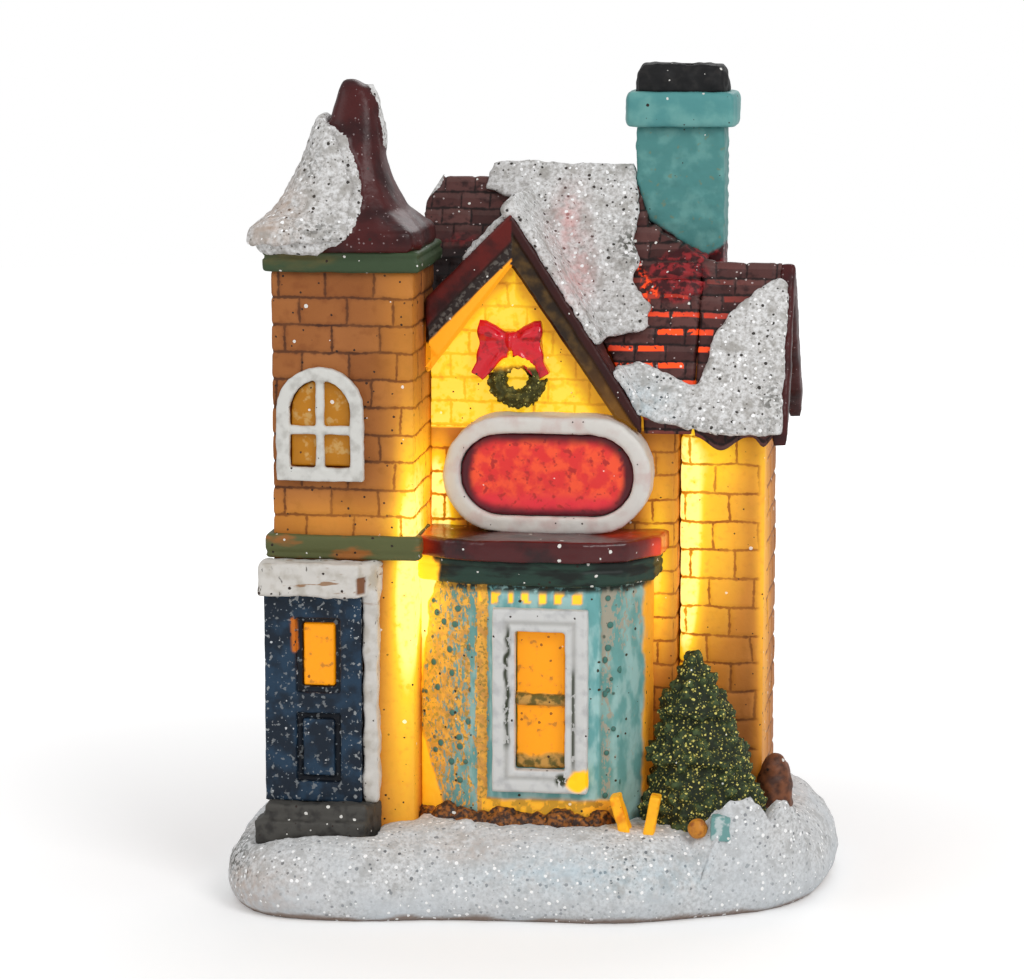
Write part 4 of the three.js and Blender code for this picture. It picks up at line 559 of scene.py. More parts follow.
brick_wall("shop", lambda x, y, z: y < -4.9, 3.4, 6.0, shop_courses, [
    (-14.2, -6, 58.5, 2.4, 5, 6.5, 1.05),
    (-14.0, -6, 52, 3.4, 5, 4, 0.6),
    (-12, -6, 67, 3.4, 5, 4, 0.15),
    (-14.0, -6, 44, 3, 5, 8, 0.7),
    (17.2, -6, 45, 2.4, 5, 12, 0.55),
    (18.5, -6, 52, 4, 5, 26, 0.38),
    (-14.5, -6, 30, 3, 5, 18, 0.5),
], 0.16, gable_glow)


def wing_courses(p):
    """The wing's side is plain near the front."""
    return 1 - fade(31.2, 32.2, p[:, 0]) * fade(4, 1, p[:, 1])


brick_wall("wing", lambda x, y, z: (y < -2.9) | (x > 31.4), 4.1, 6.4, wing_courses, [
    (21.2, -3.5, 57, 1.9, 3, 9, 0.9),
    (21.2, -3.5, 42, 1.9, 3, 11, 0.9),
    (23, -3.5, 50, 6, 3, 24, 0.52),
    (26, -3.5, 63, 7, 3, 5, 0.32),
    (28, -3.5, 52, 5, 3, 16, 0.3),
    (32.5, 0, 42, 1.2, 14, 40, 0.5),
])


# Other cast pieces


def cast(lump=0.12, size=3.0, grain=0.05, grain_size=0.9, inflate=0.1, seed=50):
    """Relief of hand-painted casting: soft lumps, fine grain and a little more body."""
    def relief(piece, p):
        push(piece, inflate + lump * fractal(p, size, 2, seed) + grain * fractal(p, grain_size, 2, seed + 9))
    return relief


def dressed(node, paint, slot, voxel, smooth, *reliefs, body="house"):
    """Recast piece in place of a node, with reliefs worked into it one by one."""
    piece = recast(node + "_cast", node, voxel, smooth)
    for relief in reliefs:
        relief(piece, points(piece))
    return show(piece, paint.material, slot, node, body=body)


# Snow

SNOW = snow_paint("snow_glitter")
HOLE_MIDDLE, HOLE_HALF = (2.5, 10.5), (15.6, 14.1)
SNOW_PILES = (31, -20, 5.2, 3, 18), (36, -15, 3.2, 4, 16.5), (-7, -22, 7, 3, 13.2)


def drifts(piece, p):
    """Lumpy snow of the base; its underside and the hole for the light module stay true."""
    n = normals(piece)
    up = fade(0.5, 3.0, p[:, 2])
    hole = (np.abs(p[:, :2] - HOLE_MIDDLE) < HOLE_HALF).all(axis=1)
    free = up * (1 - hole)
    rough = 0.35 + 0.65 * fade(3.5, 6.5, p[:, 2] + 1.5 * fractal(p, 9, 2, 62))
    amount = free * (0.42 * fractal(p, 6.5, 3, 60) + rough * 0.3 * fractal(p, 1.3, 3, 64) + 0.05)
    p = p + n * amount[:, None]
    level = fade(8.5, 10.5, p[:, 2]) * fade(0.2, 0.8, n[:, 2])
    rise = level * 0.8 * fade(-29, -20, p[:, 1]) * fade(-21, -12, p[:, 0])
    for x, y, radius_x, radius_y, top in SNOW_PILES:
        away = ((p[:, 0] - x) / radius_x) ** 2 + ((p[:, 1] - y) / radius_y) ** 2
        height = top + 1.6 * fractal(p, 1.8, 3, 66) - 4.2 * away - p[:, 2]
        height = np.clip(height, 0, 10)
        height = height ** 2 / (height + 1.4)
        rise = np.maximum(rise, height * (n[:, 2] > 0.05) * fade(2, 4, p[:, 2]))
    p[:, 2] += rise * (1 - hole)
    p[:, 2] = np.maximum(p[:, 2], 0)
    place_points(piece, p)
    store(
        piece, foot=fade(0.9, 0.4, p[:, 2] + 0.9 * fractal(p, 5, 3, 68)) * 0.8,
        clean=1.0 + fractal(p, 8, 2, 69) + 0.6 * fade(6, 3, p[:, 2]),
        cool=spots(p, [(4, -31, 7.5, 12, 9, 2.2, 0.35), (24, -30, 6.5, 16, 12, 3, 0.35)]),
        warm=spotted(p, [(-38, -30, 3.5, 8, 9, 4, 0.5), (-6, -26, 9.5, 5, 6, 2, 0.35)]),
        soot=spotted(p, [(-41, -24, 7, 4, 9, 3, 0.9), (22, -31, 7, 2, 4, 1.5, 1)]),
    )


def snow_layer(size, **tints):
    """Ragged layer on a roof, with spots of other tints."""
    def relief(piece, p):
        push(piece, 0.2 + 0.42 * fractal(p, size, 3, 70) + 0.25 * fractal(p, 1.0, 2, 73))
        store(piece, **{name: spotted(p, places) for name, places in tints.items()})
    return relief


dressed("snow_base", SNOW, "snow", 0.55, 3, drifts)
dressed("tower_snow", SNOW, "snow", 0.36, 8, snow_layer(
    2.6, warm=[(-35, -18, 97, 4, 9, 6, 0.55)],
    soot=[(-28.5, -18, 95.4, 3.4, 6, 1.6, 0.75), (-30, -14, 104, 2, 6, 3, 0.5)],
))
# Its pink spots are painted glow of the lamps through the snow.
dressed("main_roof_snow", SNOW, "snow", 0.36, 10, snow_layer(
    3.0, rosy=[(3.0, 3, 95, 2.2, 9, 4, 0.6), (5.4, -3, 88, 2.0, 9, 4.5, 0.6)],
    soot=[(12.2, 3, 91.5, 2.2, 9, 2.6, 1.0), (10, -8, 79.5, 3, 4, 1.2, 0.7)],
))
dressed("wing_roof_snow", SNOW, "snow", 0.36, 8, snow_layer(
    2.6, cool=[(15, -9, 70, 5, 6, 4, 0.35)],
    soot=[(33.5, -8, 70.5, 1.6, 5, 3.4, 0.7), (24, -9, 67, 5, 4, 1.2, 0.5)],
))

# Roofs

EAVE = 69.0
RIDGE = 97.0
SHINGLE_LENGTH = 4.3
MAIN_ROW, WING_ROW = 31.6 / 14, 20.2 / 9


def shingle_paint():
    """Brown shingles; light of the lamps shines through some of their front edges."""
    paint = Paint("shingle_painted", 0.5, 0.25)
    riser = paint.band(paint.times("bed", -1.0), 0.08, 0.2)
    gap = paint.joint("bed", 0.14, 0.12, 0.22)
    head = paint.joint("head", 0.12, 0.12, 0.25)
    paint.base(paint.ramp("tint", [(0.0, (50, 27, 26)), (0.5, (76, 42, 40)), (1.0, (104, 66, 62))]))
    paint.over((48, 24, 24), paint.patches(0.5, 0.75, 1.4, 4, 2))
    # Lighter front edges of the rows: painted highlight.
    paint.over((108, 78, 74), riser, 0.35)
    # Near-black gaps between the shingles: painted shade.
    paint.over((22, 11, 11), paint.most(gap, head), 0.9)
    rock = paint.mix(paint.patches(0.42, 0.6, 1.1, 3, 15), (66, 20, 24), (150, 40, 44))
    paint.over(rock, "red")
    inner = paint.band(paint.joint("head", 0.3, 0.1, 0.3), 0.6, 0.2)
    broken = paint.patches(0.32, 0.4, 0.9, 3, 29)
    bar = paint.times(riser, inner, "lit", broken, "glow", paint.band(gap, 0.7, 0.2))
    hot = paint.most(bar, paint.times("streak", paint.patches(0.42, 0.52, 0.8, 3, 19)))
    paint.over((206, 44, 20), hot)
    # Dark patch under the left end of the gable's board: painted shade.
    paint.over((20, 12, 14), "hollow")
    paint.fleck((176, 160, 158), 0.8, 0.12, 0.35, 47)
    paint.dust(0.6, 0.1)
    snowed(paint, 0.92)
    paint.glowing(hot, [(0, (0, 0, 0, 1)), (0.5, (0.3, 0.02, 0.004, 1)), (1, (0.72, 0.08, 0.008, 1))])
    paint.grain(0.5, 0.1, 0.6)
    return paint


def shingles(row):
    """Joints between the shingles, staggered from row to row, and what shines or lies on them."""
    def relief(piece, p):
        n = normals(piece)
        x, y, z = p.T
        q = p + fractal(p, 3.0, 2, 80)[:, None] * (0.25, 0, 0.14)
        level = (q[:, 2] - EAVE) / row
        course = np.floor(level)
        part = level - course
        rank = course.astype(np.int64)
        along = q[:, 0] / SHINGLE_LENGTH + 0.5 * (rank % 2) + 0.3 * lattice(rank, 0, 0, 83)
        number = np.floor(along)
        joint = np.minimum(along - number, number + 1 - along) * SHINGLE_LENGTH
        which = number.astype(np.int64)
        tint = lattice(which, rank, 0, 84)
        outside = fade(0.1, 0.35, n[:, 2])
        groove = bell(joint, 0.24) * outside
        riser = fade(0.5, 0.62, part) * fade(1.04, 0.94, part)
        front = y < 9
        bulge = spots(p, [(19.2, 8, 86.2, 4.2, 7, 3.6, 1.4)]) * (z > 80)
        bulge = np.clip(bulge, 0, 1) * outside * (1 + 0.3 * fractal(p, 1.4, 2, 91))
        streak = near_line(p, [(13.2, 89), (14.2, 87.4), (16.4, 84.6)], 0.45)
        streak = np.maximum(streak, near_line(p, [(14.2, 86.4), (15.4, 82.6)], 0.4)) * front
        red = np.maximum(fade(0.25, 0.4, bulge), spots(p, [(-12.4, 0, 91.6, 2.6, 8, 1.1, 1.2)]))
        # Painted shade under the gable's left board.
        hollow = fade(-10.4, -11.6, x) * fade(91.2, 90.2, z) * front
        cap = fade(RIDGE, RIDGE + 0.6, z - 0.9 * (x + 16.6) - 1.4) * fade(-15.6, -16.4, x)
        relief_height = 0.08 - 0.2 * groove + outside * (0.16 * (tint - 0.5) + 0.07 * fractal(p, 1.5, 2, 86))
        push(piece, relief_height + 0.16 * riser * outside + 1.7 * bulge - 0.15 * streak + 0.3 * cap)
        joints(piece, "bed", part, row)
        joints(piece, "head", along - number, SHINGLE_LENGTH)
        store(
            piece, lit=lattice(which, rank, 0, 92) > 0.25,
            tint=0.2 + 0.6 * tint + 0.2 * noise(p, 2, 89),
            glow=spotted(p, [(18.5, -2, 77, 8.5, 9, 7, 1.3)]), streak=streak,
            red=np.clip(red, 0, 1), hollow=hollow * 0.85, snow=cap,
        )
    return relief


def chamfered_verge(piece, p):
    """The left end of the ridge is knocked off at a slant."""
    over = np.maximum(0, (p[:, 2] - RIDGE) / 3.6 * 2.2 - (p[:, 0] + 18.2))
    over = np.where(p[:, 2] > RIDGE, over, 0)
    p[:, 0] += np.minimum(over, 2.4)
    place_points(piece, p)


def dripping_eave(piece, p):
    """Thick paint hangs from the wing's eave."""
    p[:, 2] -= spots(p, [(26.6, -8, 66, 2.4, 2.0, 2.2, 2.2), (32.6, -8, 66, 1.0, 1.6, 2.2, 1.6)])
    place_points(piece, p)


def gable_slopes(piece, p):
    """Dark roof of the gable with a strip of snow beside the left board."""
    n = normals(piece)
    snow = fade(-10.2, -8.8, p[:, 0] + 0.8 * fractal(p, 2, 2, 98)) * (n[:, 2] > 0.2) * (p[:, 0] < 1)
    push(piece, 0.1 + 0.15 * fractal(p, 3, 2, 50) + snow * (0.75 + 0.3 * fractal(p, 1, 2, 99)))
    store(piece, snow=snow, tint=0.3 + 0.3 * noise(p, 2, 89), bed_side=-1, head_side=-1)


SHINGLE = shingle_paint()
dressed("main_roof", SHINGLE, "shingle", 0.36, 1, shingles(MAIN_ROW), chamfered_verge)
dressed("wing_roof", SHINGLE, "shingle", 0.36, 1, shingles(WING_ROW), dripping_eave)
dressed("gable_roof", SHINGLE, "shingle", 0.4, 2, gable_slopes)


def maroon_paint():
    paint = coated(
        "maroon_gloss", (72, 20, 20), (46, 12, 14),
        share=(0.4, 0.65), size=5, roughness=0.36, white=0.12, dark=0.2,
    )
    paint.over((168, 150, 150), paint.specks(0.6, 0.1, 0.5, 27), 0.5)
    paint.set("Roughness", paint.band(snowed(paint, 0.95), -0.7, 1.0))
    return paint


MAROON = maroon_paint()
SNOW_EDGE = (
    (91.6, 92.2, 93.6, 95.8, 98.9, 103, 107.8, 109.6, 116),
    (-36.5, -29, -25.2, -23.3, -23.0, -23.6, -25.6, -28.2, -40),
)


def spire_relief(piece, p):
    """Fuller edge of the snow on the front, and a thin line of it right of the tip."""
    n = normals(piece)
    right = fade(105, 107, p[:, 2]) * fade(0.5, 0.75, n[:, 0]) * fade(-11.5, -9.5, p[:, 1])
    edge = np.interp(p[:, 2], *SNOW_EDGE)
    patch = fade(0.3, -0.2, p[:, 0] - edge - 0.4 * fractal(p, 1.5, 2, 94)) * fade(0.1, -0.15, n[:, 1])
    snow = np.maximum(right, patch)
    push(piece, 0.08 + 0.14 * fractal(p, 4, 2, 90) + 0.05 * fractal(p, 1, 2, 93)
         + snow * (0.5 + 0.3 * fractal(p, 1.3, 3, 92)))
    store(piece, snow=snow)


dressed("tower_roof", MAROON, "maroon", 0.4, 2, spire_relief)


def fascia_paint():
    """Painted boards whose lower left end is left bare and shines like the wall."""
    paint = Paint("fascia_painted", 0.42, 0.25)
    patchy = paint.patches(0.4, 0.65, 4, 3)
    outer = paint.mix(patchy, paint.mix("left", (58, 22, 20), (98, 26, 22)), (50, 20, 20))
    # The grey-black mix for the left inner strip is painted shade: the shade of the board's underside laid
    # into its colour.
    soot = paint.mix(paint.patches(0.5, 0.62, 0.7, 3, 7), (46, 36, 34), (96, 90, 84))
    olive = paint.mix(paint.patches(0.4, 0.7, 2.4, 3, 7), (44, 32, 22), (92, 68, 34))
    paint.base(paint.mix("inner", outer, paint.mix("left", olive, soot)))
    paint.over((240, 150, 30), "bare")
    # Dark line along the step into the inner strip: painted shade.
    paint.over((30, 14, 10), "lip", 0.8)
    paint.dust(0.35, 0.2)
    paint.glowing(paint.most("bare", "low"), [
        (0, (0, 0, 0, 1)), (0.4, (0.08, 0.03, 0.002, 1)), (1, (0.5, 0.2, 0.006, 1)),
    ])
    paint.grain(0.6, 0.08, 0.5)
    return paint


def two_strips(piece, p):
    """Outer moulding and recessed inner strip of the gable's boards."""
    x, y, z = p.T
    down, left = under_gable(p)
    down = down + 0.12 * fractal(p, 3, 2, 96)
    inner_from = np.where(left, 2.9, 1.3)
    inner = fade(inner_from - 0.15, inner_from + 0.15, down)
    end = np.where(left, 4.45, 4.3)
    along = (APEX[0] - x + APEX[1] - z) / math.sqrt(2)
    cut_off = left * fade(21.7, 22.1, along + 0.3 * fractal(p, 1.5, 2, 95))
    bare = np.maximum(left * fade(end - 0.1, end + 0.15, down), cut_off)
    front = y < -9.3
    push(piece, 0.08 - 0.45 * inner * front - 0.4 * cut_off * front + 0.07 * fractal(p, 1.5, 2, 97))
    store(
        piece, left=left, inner=inner, bare=bare,
        lip=bell(down - inner_from, 0.22) * (1 - bare),
        low=(1 - left) * inner * fade(80, 68, z) * 0.5,
    )


dressed("gable_fascia", fascia_paint(), "maroon", 0.24, 2, two_strips)
dressed("wing_barge_board", MAROON, "maroon", 0.3, 4, cast(0.15, 3))

# Bands, door and windows

GREEN = coated(
    "green_trim", (58, 76, 50), (98, 88, 48), share=(0.48, 0.7), size=4, white=0.6, stretch=(2.5, 2.5, 1),
)
COURSE = coated(
    "course_olive", (90, 94, 56), (158, 98, 44),
    share=(0.52, 0.66), size=3.2, white=0.5, stretch=(2.5, 2.5, 0.8),
)
GREEN_DARK = coated(
    "green_dark", (38, 62, 52), (22, 30, 26), share=(0.45, 0.6), size=1.6, white=0.9, stretch=(4, 4, 1),
)


def moulded(z, depth=0.3, half=0.28):
    """Groove that runs round a band at a height."""
    def relief(piece, p):
        push(piece, 0.22 - depth * bell(p[:, 2] - z, half) + 0.12 * fractal(p, 2.5, 2, 100))
    return relief


dressed("tower_cornice", GREEN, "green_trim", 0.3, 10, moulded(91.5, 0.45, 0.22))
dressed("string_course", COURSE, "green_trim", 0.32, 12, moulded(49.9, 0.3, 0.2))
GREEN_DARK.over((242, 172, 46), "bare")
GREEN_DARK.glowing(GREEN_DARK.times("bare", 0.8), GLOW)


def left_end_bare(piece, p):
    """The paint stops short of the left end, where the lit casting shows."""
    store(piece, bare=fade(-12.2, -12.8, p[:, 0] + 0.8 * fractal(p, 1.6, 2, 102)))


CORNICE_RELIEFS = moulded(48.2, 0.3, 0.2), moulded(47.0, 0.15), left_end_bare
dressed("bay_cornice", GREEN_DARK, "green_trim", 0.3, 8, *CORNICE_RELIEFS)

WHITE = coated("white_paint", (214, 213, 208), (188, 186, 180), size=2, white=0.0)


def lintel_paint():
    """White strokes over brown, thin on the lintel."""
    paint = coated("white_streaked", (212, 208, 202), (188, 182, 172), size=2.2, white=0.0, dark=0.5)
    paint.over((146, 104, 62), paint.patches(0.6, 0.66, 1.5, 4, 6, (3.2, 2, 0.6)), "lintel", 0.85)
    paint.over((100, 94, 88), paint.patches(0.67, 0.71, 0.7, 3, 16, (1, 1, 3.5)))
    paint.over((128, 84, 58), "square")
    return paint


def lintel_relief(piece, p):
    """Knobbly strokes and the small square panel at the lintel's right end."""
    x, y, z = p.T
    square = fade(0.1, -0.1, np.maximum(np.abs(x + 21.9) - 0.9, np.abs(z - 45.9) - 1.15))
    push(piece, 0.12 + 0.3 * fractal(p, 2.6, 2, 50) + 0.12 * fractal(p, 1, 2, 59) - 0.3 * square * (y < -22))
    store(piece, square=square * (y < -22), lintel=fade(42.5, 44, z))


dressed("door_surround", lintel_paint(), "white_paint", 0.26, 8, lintel_relief)
dressed("tower_window_frame", WHITE, "white_paint", 0.2, 4, cast(0.12, 1.6))


def beaded(piece, p):
    """Groove round the inner bead of the bay window's frame."""
    x, y, z = p.T
    out = np.maximum(np.abs(x - 2.5) - 3.6, np.abs(z - 29.55) - 9.95)
    front = fade(-19.2, -19.7, y)
    ragged = 0.6 * fractal(p, 1.6, 2, 107)
    groove = bell(out - 1.15, 0.32) * front
    inner_left = fade(0.45, 0.1, np.abs(x + 2.1 + ragged)) * fade(22, 24, z) * fade(41, 39, z)
    inner_right = fade(0.3, 0.1, np.abs(x - 7.2)) * fade(19, 22, z) * fade(35, 33, z)
    corner = fade(0.9, 0.4, np.hypot(x - 5.6, z - 18.4) * 0.7)
    chip = fade(1.9, 1.3, np.hypot(x - 8.0, z - 18.4) + ragged)
    push(piece, 0.05 - 0.25 * groove + 0.08 * fractal(p, 2, 2, 104) - 0.2 * chip * front)
    # worn marks where the frame is darkened: the reveals' painted shade together with dark paint flecks.
    store(piece, groove=groove, worn=np.clip(inner_left + inner_right + corner, 0, 1) * front, chip=chip)


def frame_paint():
    paint = coated("white_frame", (212, 212, 210), (190, 190, 190), size=2, white=0.0)
    # Grey in the groove round the inner bead: painted shade.
    paint.over((150, 148, 142), "groove", 0.5)
    # Dark olive flecks along the inner edges and lower right corner: painted shade of the reveals together
    # with dark flecks of paint.
    paint.over((52, 58, 40), "worn", paint.patches(0.42, 0.46, 0.8, 3, 6, (1, 1, 1.6)))
    paint.over((244, 178, 16), "chip")
    paint.glowing("chip", (0.5, 0.25, 0.0))
    return paint


dressed("bay_window_frame", frame_paint(), "white_paint", 0.22, 2, beaded)


def amber_paint(name, clean, worn, glow):
    """Translucent orange pane lit from behind, blotched with old paint."""
    paint = Paint(name, 0.35)
    blotch = paint.patches(0.55, 0.68, 1.3, 4, 3)
    paint.base(paint.mix(blotch, clean, worn))
    paint.over(paint.mix(paint.patches(0.4, 0.6, 1.2, 3, 9), (96, 88, 38), (200, 150, 74)), "rail")
    paint.dust(0.25, 0.4)
    light = paint.times(paint.band(blotch, 1.6, -0.1), paint.band("rail", 1.2, 0.0))
    paint.glowing(light, tuple(glow * c for c in (0.62, 0.2, 0.002)))
    paint.grain(0.9, 0.1, 0.5)
    return paint


AMBER = amber_paint("amber_pane", (232, 150, 14), (200, 128, 40), 0.55)
AMBER_DULL = amber_paint("amber_pane_dull", (176, 116, 22), (200, 158, 92), 0.12)


def pane_rail(piece, p):
    """Middle rail and the old lumps along the bottom of the bay's pane."""
    rail = fade(1.0, 0.7, np.abs(p[:, 2] - 29.6) + 0.3 * fractal(p, 1.4, 2, 110))
    lumps = fade(22.2, 21.4, p[:, 2] + fractal(p, 1.2, 1, 109) * 0.5)
    push(piece, 0.05 * fractal(p, 1.5, 2, 108) + 0.25 * np.maximum(rail, lumps * noise(p, 1.3, 111)))
    store(piece, rail=np.maximum(rail, lumps))


dressed("bay_window_pane", AMBER, "amber", 0.22, 2, pane_rail)
dressed("door_window", AMBER, "amber", 0.18, 2, cast(0.06, 1.5, inflate=0.02))
dressed("tower_window_pane", AMBER_DULL, "amber", 0.22, 2, cast(0.06, 1.5, inflate=0.0))


def navy_paint():
    """Dark blue door, spattered along its edges."""
    paint = Paint("navy_paint", 0.45, 0.25)
    paint.base(paint.mix(paint.patches(0.4, 0.65, 3, 3), (24, 35, 48), (36, 60, 82)))
    # Darker in the door's deeper parts: painted shade in its recesses.
    paint.over((14, 16, 22), "hollow")
    paint.over((150, 154, 156), paint.patches(0.6, 0.64, 0.75, 3, 23), "edge")
    paint.fleck((190, 194, 198), 1.05, 0.17, 0.5, 3)
    paint.fleck((120, 130, 138), 0.7, 0.11, 0.4, 13)
    paint.fleck((190, 112, 26), 4.5, 0.4, 0.2, 31)
    paint.over((206, 112, 28), "bar", paint.patches(0.36, 0.42, 0.9, 3, 35))
    paint.grain(0.6, 0.1, 0.6)
    return paint


def door_relief(piece, p):
    x, y, z = p.T
    push(piece, 0.03 + 0.07 * fractal(p, 1.6, 2, 112))
    # The deeper parts of the door get painted shade.
    hollow = fade(-21.3, -20.9, y)
    sides = fade(-34.4, -35.8, x) + fade(-24.6, -23.2, x) + fade(41.5, 43.5, z)
    store(
        piece, hollow=hollow * 0.8, edge=np.clip(sides, 0.5, 1),
        bar=near_line(p, [(-32.2, 40.6), (-32.0, 36.4)], 0.55),
    )


dressed("front_door", navy_paint(), "navy", 0.22, 1, door_relief)
STEP = coated("step_grey", (74, 72, 68), (50, 48, 46), size=1.6, roughness=0.6, white=0.9)
dressed("door_step", STEP, "step_grey", 0.34, 4, cast(0.3, 2.2, 0.1))

# Bay

BAY_EDGE = (
    (14.0, 15.5, 20.5, 25.8, 29.7, 34, 39, 43.2, 46.2),
    (-11.4, -12.0, -14.0, -15.1, -15.1, -14.6, -14.0, -13.4, -12.6),
)


def bay_paint():
    """Teal brushed thinly over the bare cast wall, with raised dots of it on the left."""
    paint = Paint("bay_teal", 0.55)
    teal = paint.mix(paint.patches(0.42, 0.62, 2.4, 3, 6, (1, 1, 2)), (112, 174, 174), (168, 210, 208))
    teal = paint.mix(paint.times("thin", 0.75), teal, (92, 116, 88))
    cast_wall = paint.mix(paint.patches(0.42, 0.6, 1.4, 4, 26), (224, 166, 70), (184, 136, 76))
    cast_wall = paint.mix(paint.patches(0.52, 0.6, 0.6, 3, 36), cast_wall, (140, 122, 64))
    cast_wall = paint.mix("lit", (166, 160, 142), cast_wall)
    brush = paint.noise(0.7, 4, 2, (0.8, 1, 1.8), 0.7)
    gone = paint.band(paint.plus("thin", brush), 0.98, 1.04)
    paint.base(paint.mix(gone, teal, cast_wall))
    paint.over((70, 122, 112), paint.band("dots", 0.3, 0.5))
    paint.over((54, 60, 40), paint.band("dots", 0.12, 0.3), paint.band("dots", 0.62, 0.44), 0.6)
    paint.over(paint.mix(paint.noise(2.0, 3, 12), (244, 160, 30), (238, 182, 60)), "bare")
    paint.over((34, 46, 38), "shade", paint.patches(0.3, 0.5, 0.9, 3, 51))
    flecks = paint.specks(1.2, 0.17, 0.5, 63)
    paint.over((60, 52, 34), flecks)
    paint.fleck((214, 216, 206), 1.8, 0.18, 0.2, 17)
    shining = paint.most("bare", paint.times(gone, "lit", 0.7))
    clear = paint.band(paint.most(flecks, "dots"), 0.9, 0.1)
    paint.glowing(paint.times(shining, "glow", clear), GLOW)
    paint.bump(brush, 0.12, 0.6)
    return paint


def bay_relief(piece, p):
    n = normals(piece)
    x, y, z = p.T
    ragged = fractal(p, 2.0, 3, 120)
    bare = fade(0.3, -0.3, x - np.interp(z, *BAY_EDGE) - 0.6 * ragged)
    bare = np.maximum(bare, fade(15.9, 16.5, x + 0.5 * ragged))
    drips = (np.sin(x * 2.7 + 1.5 * fractal(p, 3, 1, 127)) > 0.15) & (np.abs(x - 1.5) < 8) & (n[:, 1] < -0.5)
    drips = drips * fade(43.0, 43.3, z + 0.4 * ragged) * fade(45.0, 44.6, z)
    strip = fade(15.4, 14.8, z + 0.3 * ragged) * (x > -6) * (x < 13)
    bare = np.maximum(bare, np.maximum(drips, strip))
    left = fade(-4.6, -5.2, x)
    thin = left * (0.53 + 0.08 * fade(-9, -13, x) - 0.07 * fade(24, 17, z))
    thin = np.where(np.abs(x + 7.3) < 0.35, 0.4, thin)
    thin = np.where(np.abs(x + 6.0) < 0.65, 0.72 + 0.1 * ragged, thin)
    right = fade(10.4, 11.0, x)
    thin = thin + right * (0.34 + 0.16 * fade(12.6, 12.0, x) + 0.12 * fade(34, 40, z))
    away, name = cells(p, 1.8, 125)
    dots = fade(0.6, 0.3, away) * (name > 0.12) * fade(-7.2, -8.2, x) * (1 - bare)
    dots = dots + 0.9 * fade(0.6, 0.3, away) * (name > 0.5) * fade(10.8, 11.4, x) * (x < 13.4) * (1 - bare)
    store(piece, thin=thin, lit=left, dots=dots, bare=bare)
    shade = fade(44.4, 45.4, z + 0.5 * ragged) * fade(-15, -13, x)
    store(piece, shade=np.maximum(shade, 0.7 * strip * (noise(p, 0.8, 128) > 0.5)))
    glow = 0.5 + spots(p, [
        (-14.6, -15, 43.4, 3.4, 8, 6, 0.65), (-14.6, -15, 30, 2.6, 8, 14, 0.28), (2, -18, 44, 9, 4, 2, 0.3),
    ]) - 0.2 * fade(8, 12, x)
    store(piece, glow=np.clip(glow, 0, 1))
    groove = bell(x - 10.6, 0.35) + bell(x + 5.1, 0.35)
    front = fade(-15.5, -16.5, y)
    push(piece, 0.05 - 0.3 * groove * front + 0.1 * ragged + 0.06 * fractal(p, 0.9, 2, 126) + 0.22 * dots)


piece = recast("bay_front_cast", "bay_front", 0.36, 2, lambda x, y, z: (y < -6.5) & ((x < -4) | (x > 9)))
bay_relief(piece, points(piece))
show(piece, bay_paint().material, "teal", "bay_front")

LEDGE = coated(
    "ledge_gloss", (76, 18, 20), (40, 10, 14),
    size=4, roughness=0.28, white=0.4, Coat_Weight=0.3, Coat_Roughness=0.15,
)
LEDGE.over((190, 40, 16), "glow")
LEDGE.glowing("glow", (0.34, 0.03, 0.004))


def ledge_relief(piece, p):
    """Thick glossy paint, lit through at its two ends."""
    push(piece, 0.05 + 0.18 * fractal(p, 3.5, 2, 130))
    glow = spots(p, [
        (18.8, -12, 50.6, 2.0, 7, 2.2, 0.9),
        (-15.0, -13, 51, 2.2, 5, 2.2, 1.0),
        (14, -12, 52.4, 3, 4, 0.6, 0.5),
    ])
    store(piece, glow=np.clip(glow * (0.5 + noise(p, 1.5, 131)), 0, 1))


dressed("bay_ledge", LEDGE, "maroon", 0.3, 7, ledge_relief)

# Sign, wreath and bow


def sign_paint():
    """Red enamel over the lit panel: orange in the middle, crimson below, painted shade at the rim."""
    paint = Paint("sign_enamel", 0.3, Coat_Weight=0.25, Coat_Roughness=0.15)
    paint.base(paint.mix(paint.patches(0.4, 0.62, 2.0, 4, 3), (206, 34, 40), (232, 80, 42)))
    paint.over((214, 24, 60), "low")
    paint.over((150, 20, 28), paint.patches(0.56, 0.68, 1.2, 3, 13))
    # Dark rim where the panel meets its frame: painted shade.
    paint.over((84, 10, 24), "edge")
    paint.dust(0.3, 0.2)
    paint.glowing(paint.band("edge", 0.8, 0.0), (0.2, 0.014, 0.006))
    paint.grain(0.8, 0.12, 0.5)
    return paint


def oval_gap(p, half_width, half_height):
    """Distance inside an oval with round ends about the sign's middle."""
    flat = half_width - half_height
    x = np.maximum(np.abs(p[:, 0] - 2.4) - flat, 0)
    return half_height - np.hypot(x, p[:, 2] - 60.4)


def panel_relief(piece, p):
    inside = oval_gap(p, 12.3, 5.8) + 0.4 * fractal(p, 2, 2, 135)
    ends = fade(10.2, 12.2, np.abs(p[:, 0] - 2.4))
    store(
        piece, edge=np.clip(fade(1.9, 0.2, inside) + 0.7 * ends, 0, 1),
        low=fade(58.4, 56.6, p[:, 2] + 0.5 * fractal(p, 2.5, 2, 137)) * 0.8,
    )
    push(piece, 0.07 * fractal(p, 2.2, 3, 136))


SIGN_WHITE = coated("sign_white", (216, 212, 206), (206, 186, 180), size=3.5, white=0.0, dark=0.25)
dressed("sign_frame", SIGN_WHITE, "white_paint", 0.3, 6, cast(0.16, 2.4))
dressed("sign_panel", sign_paint(), "red_enamel", 0.26, 1, panel_relief)


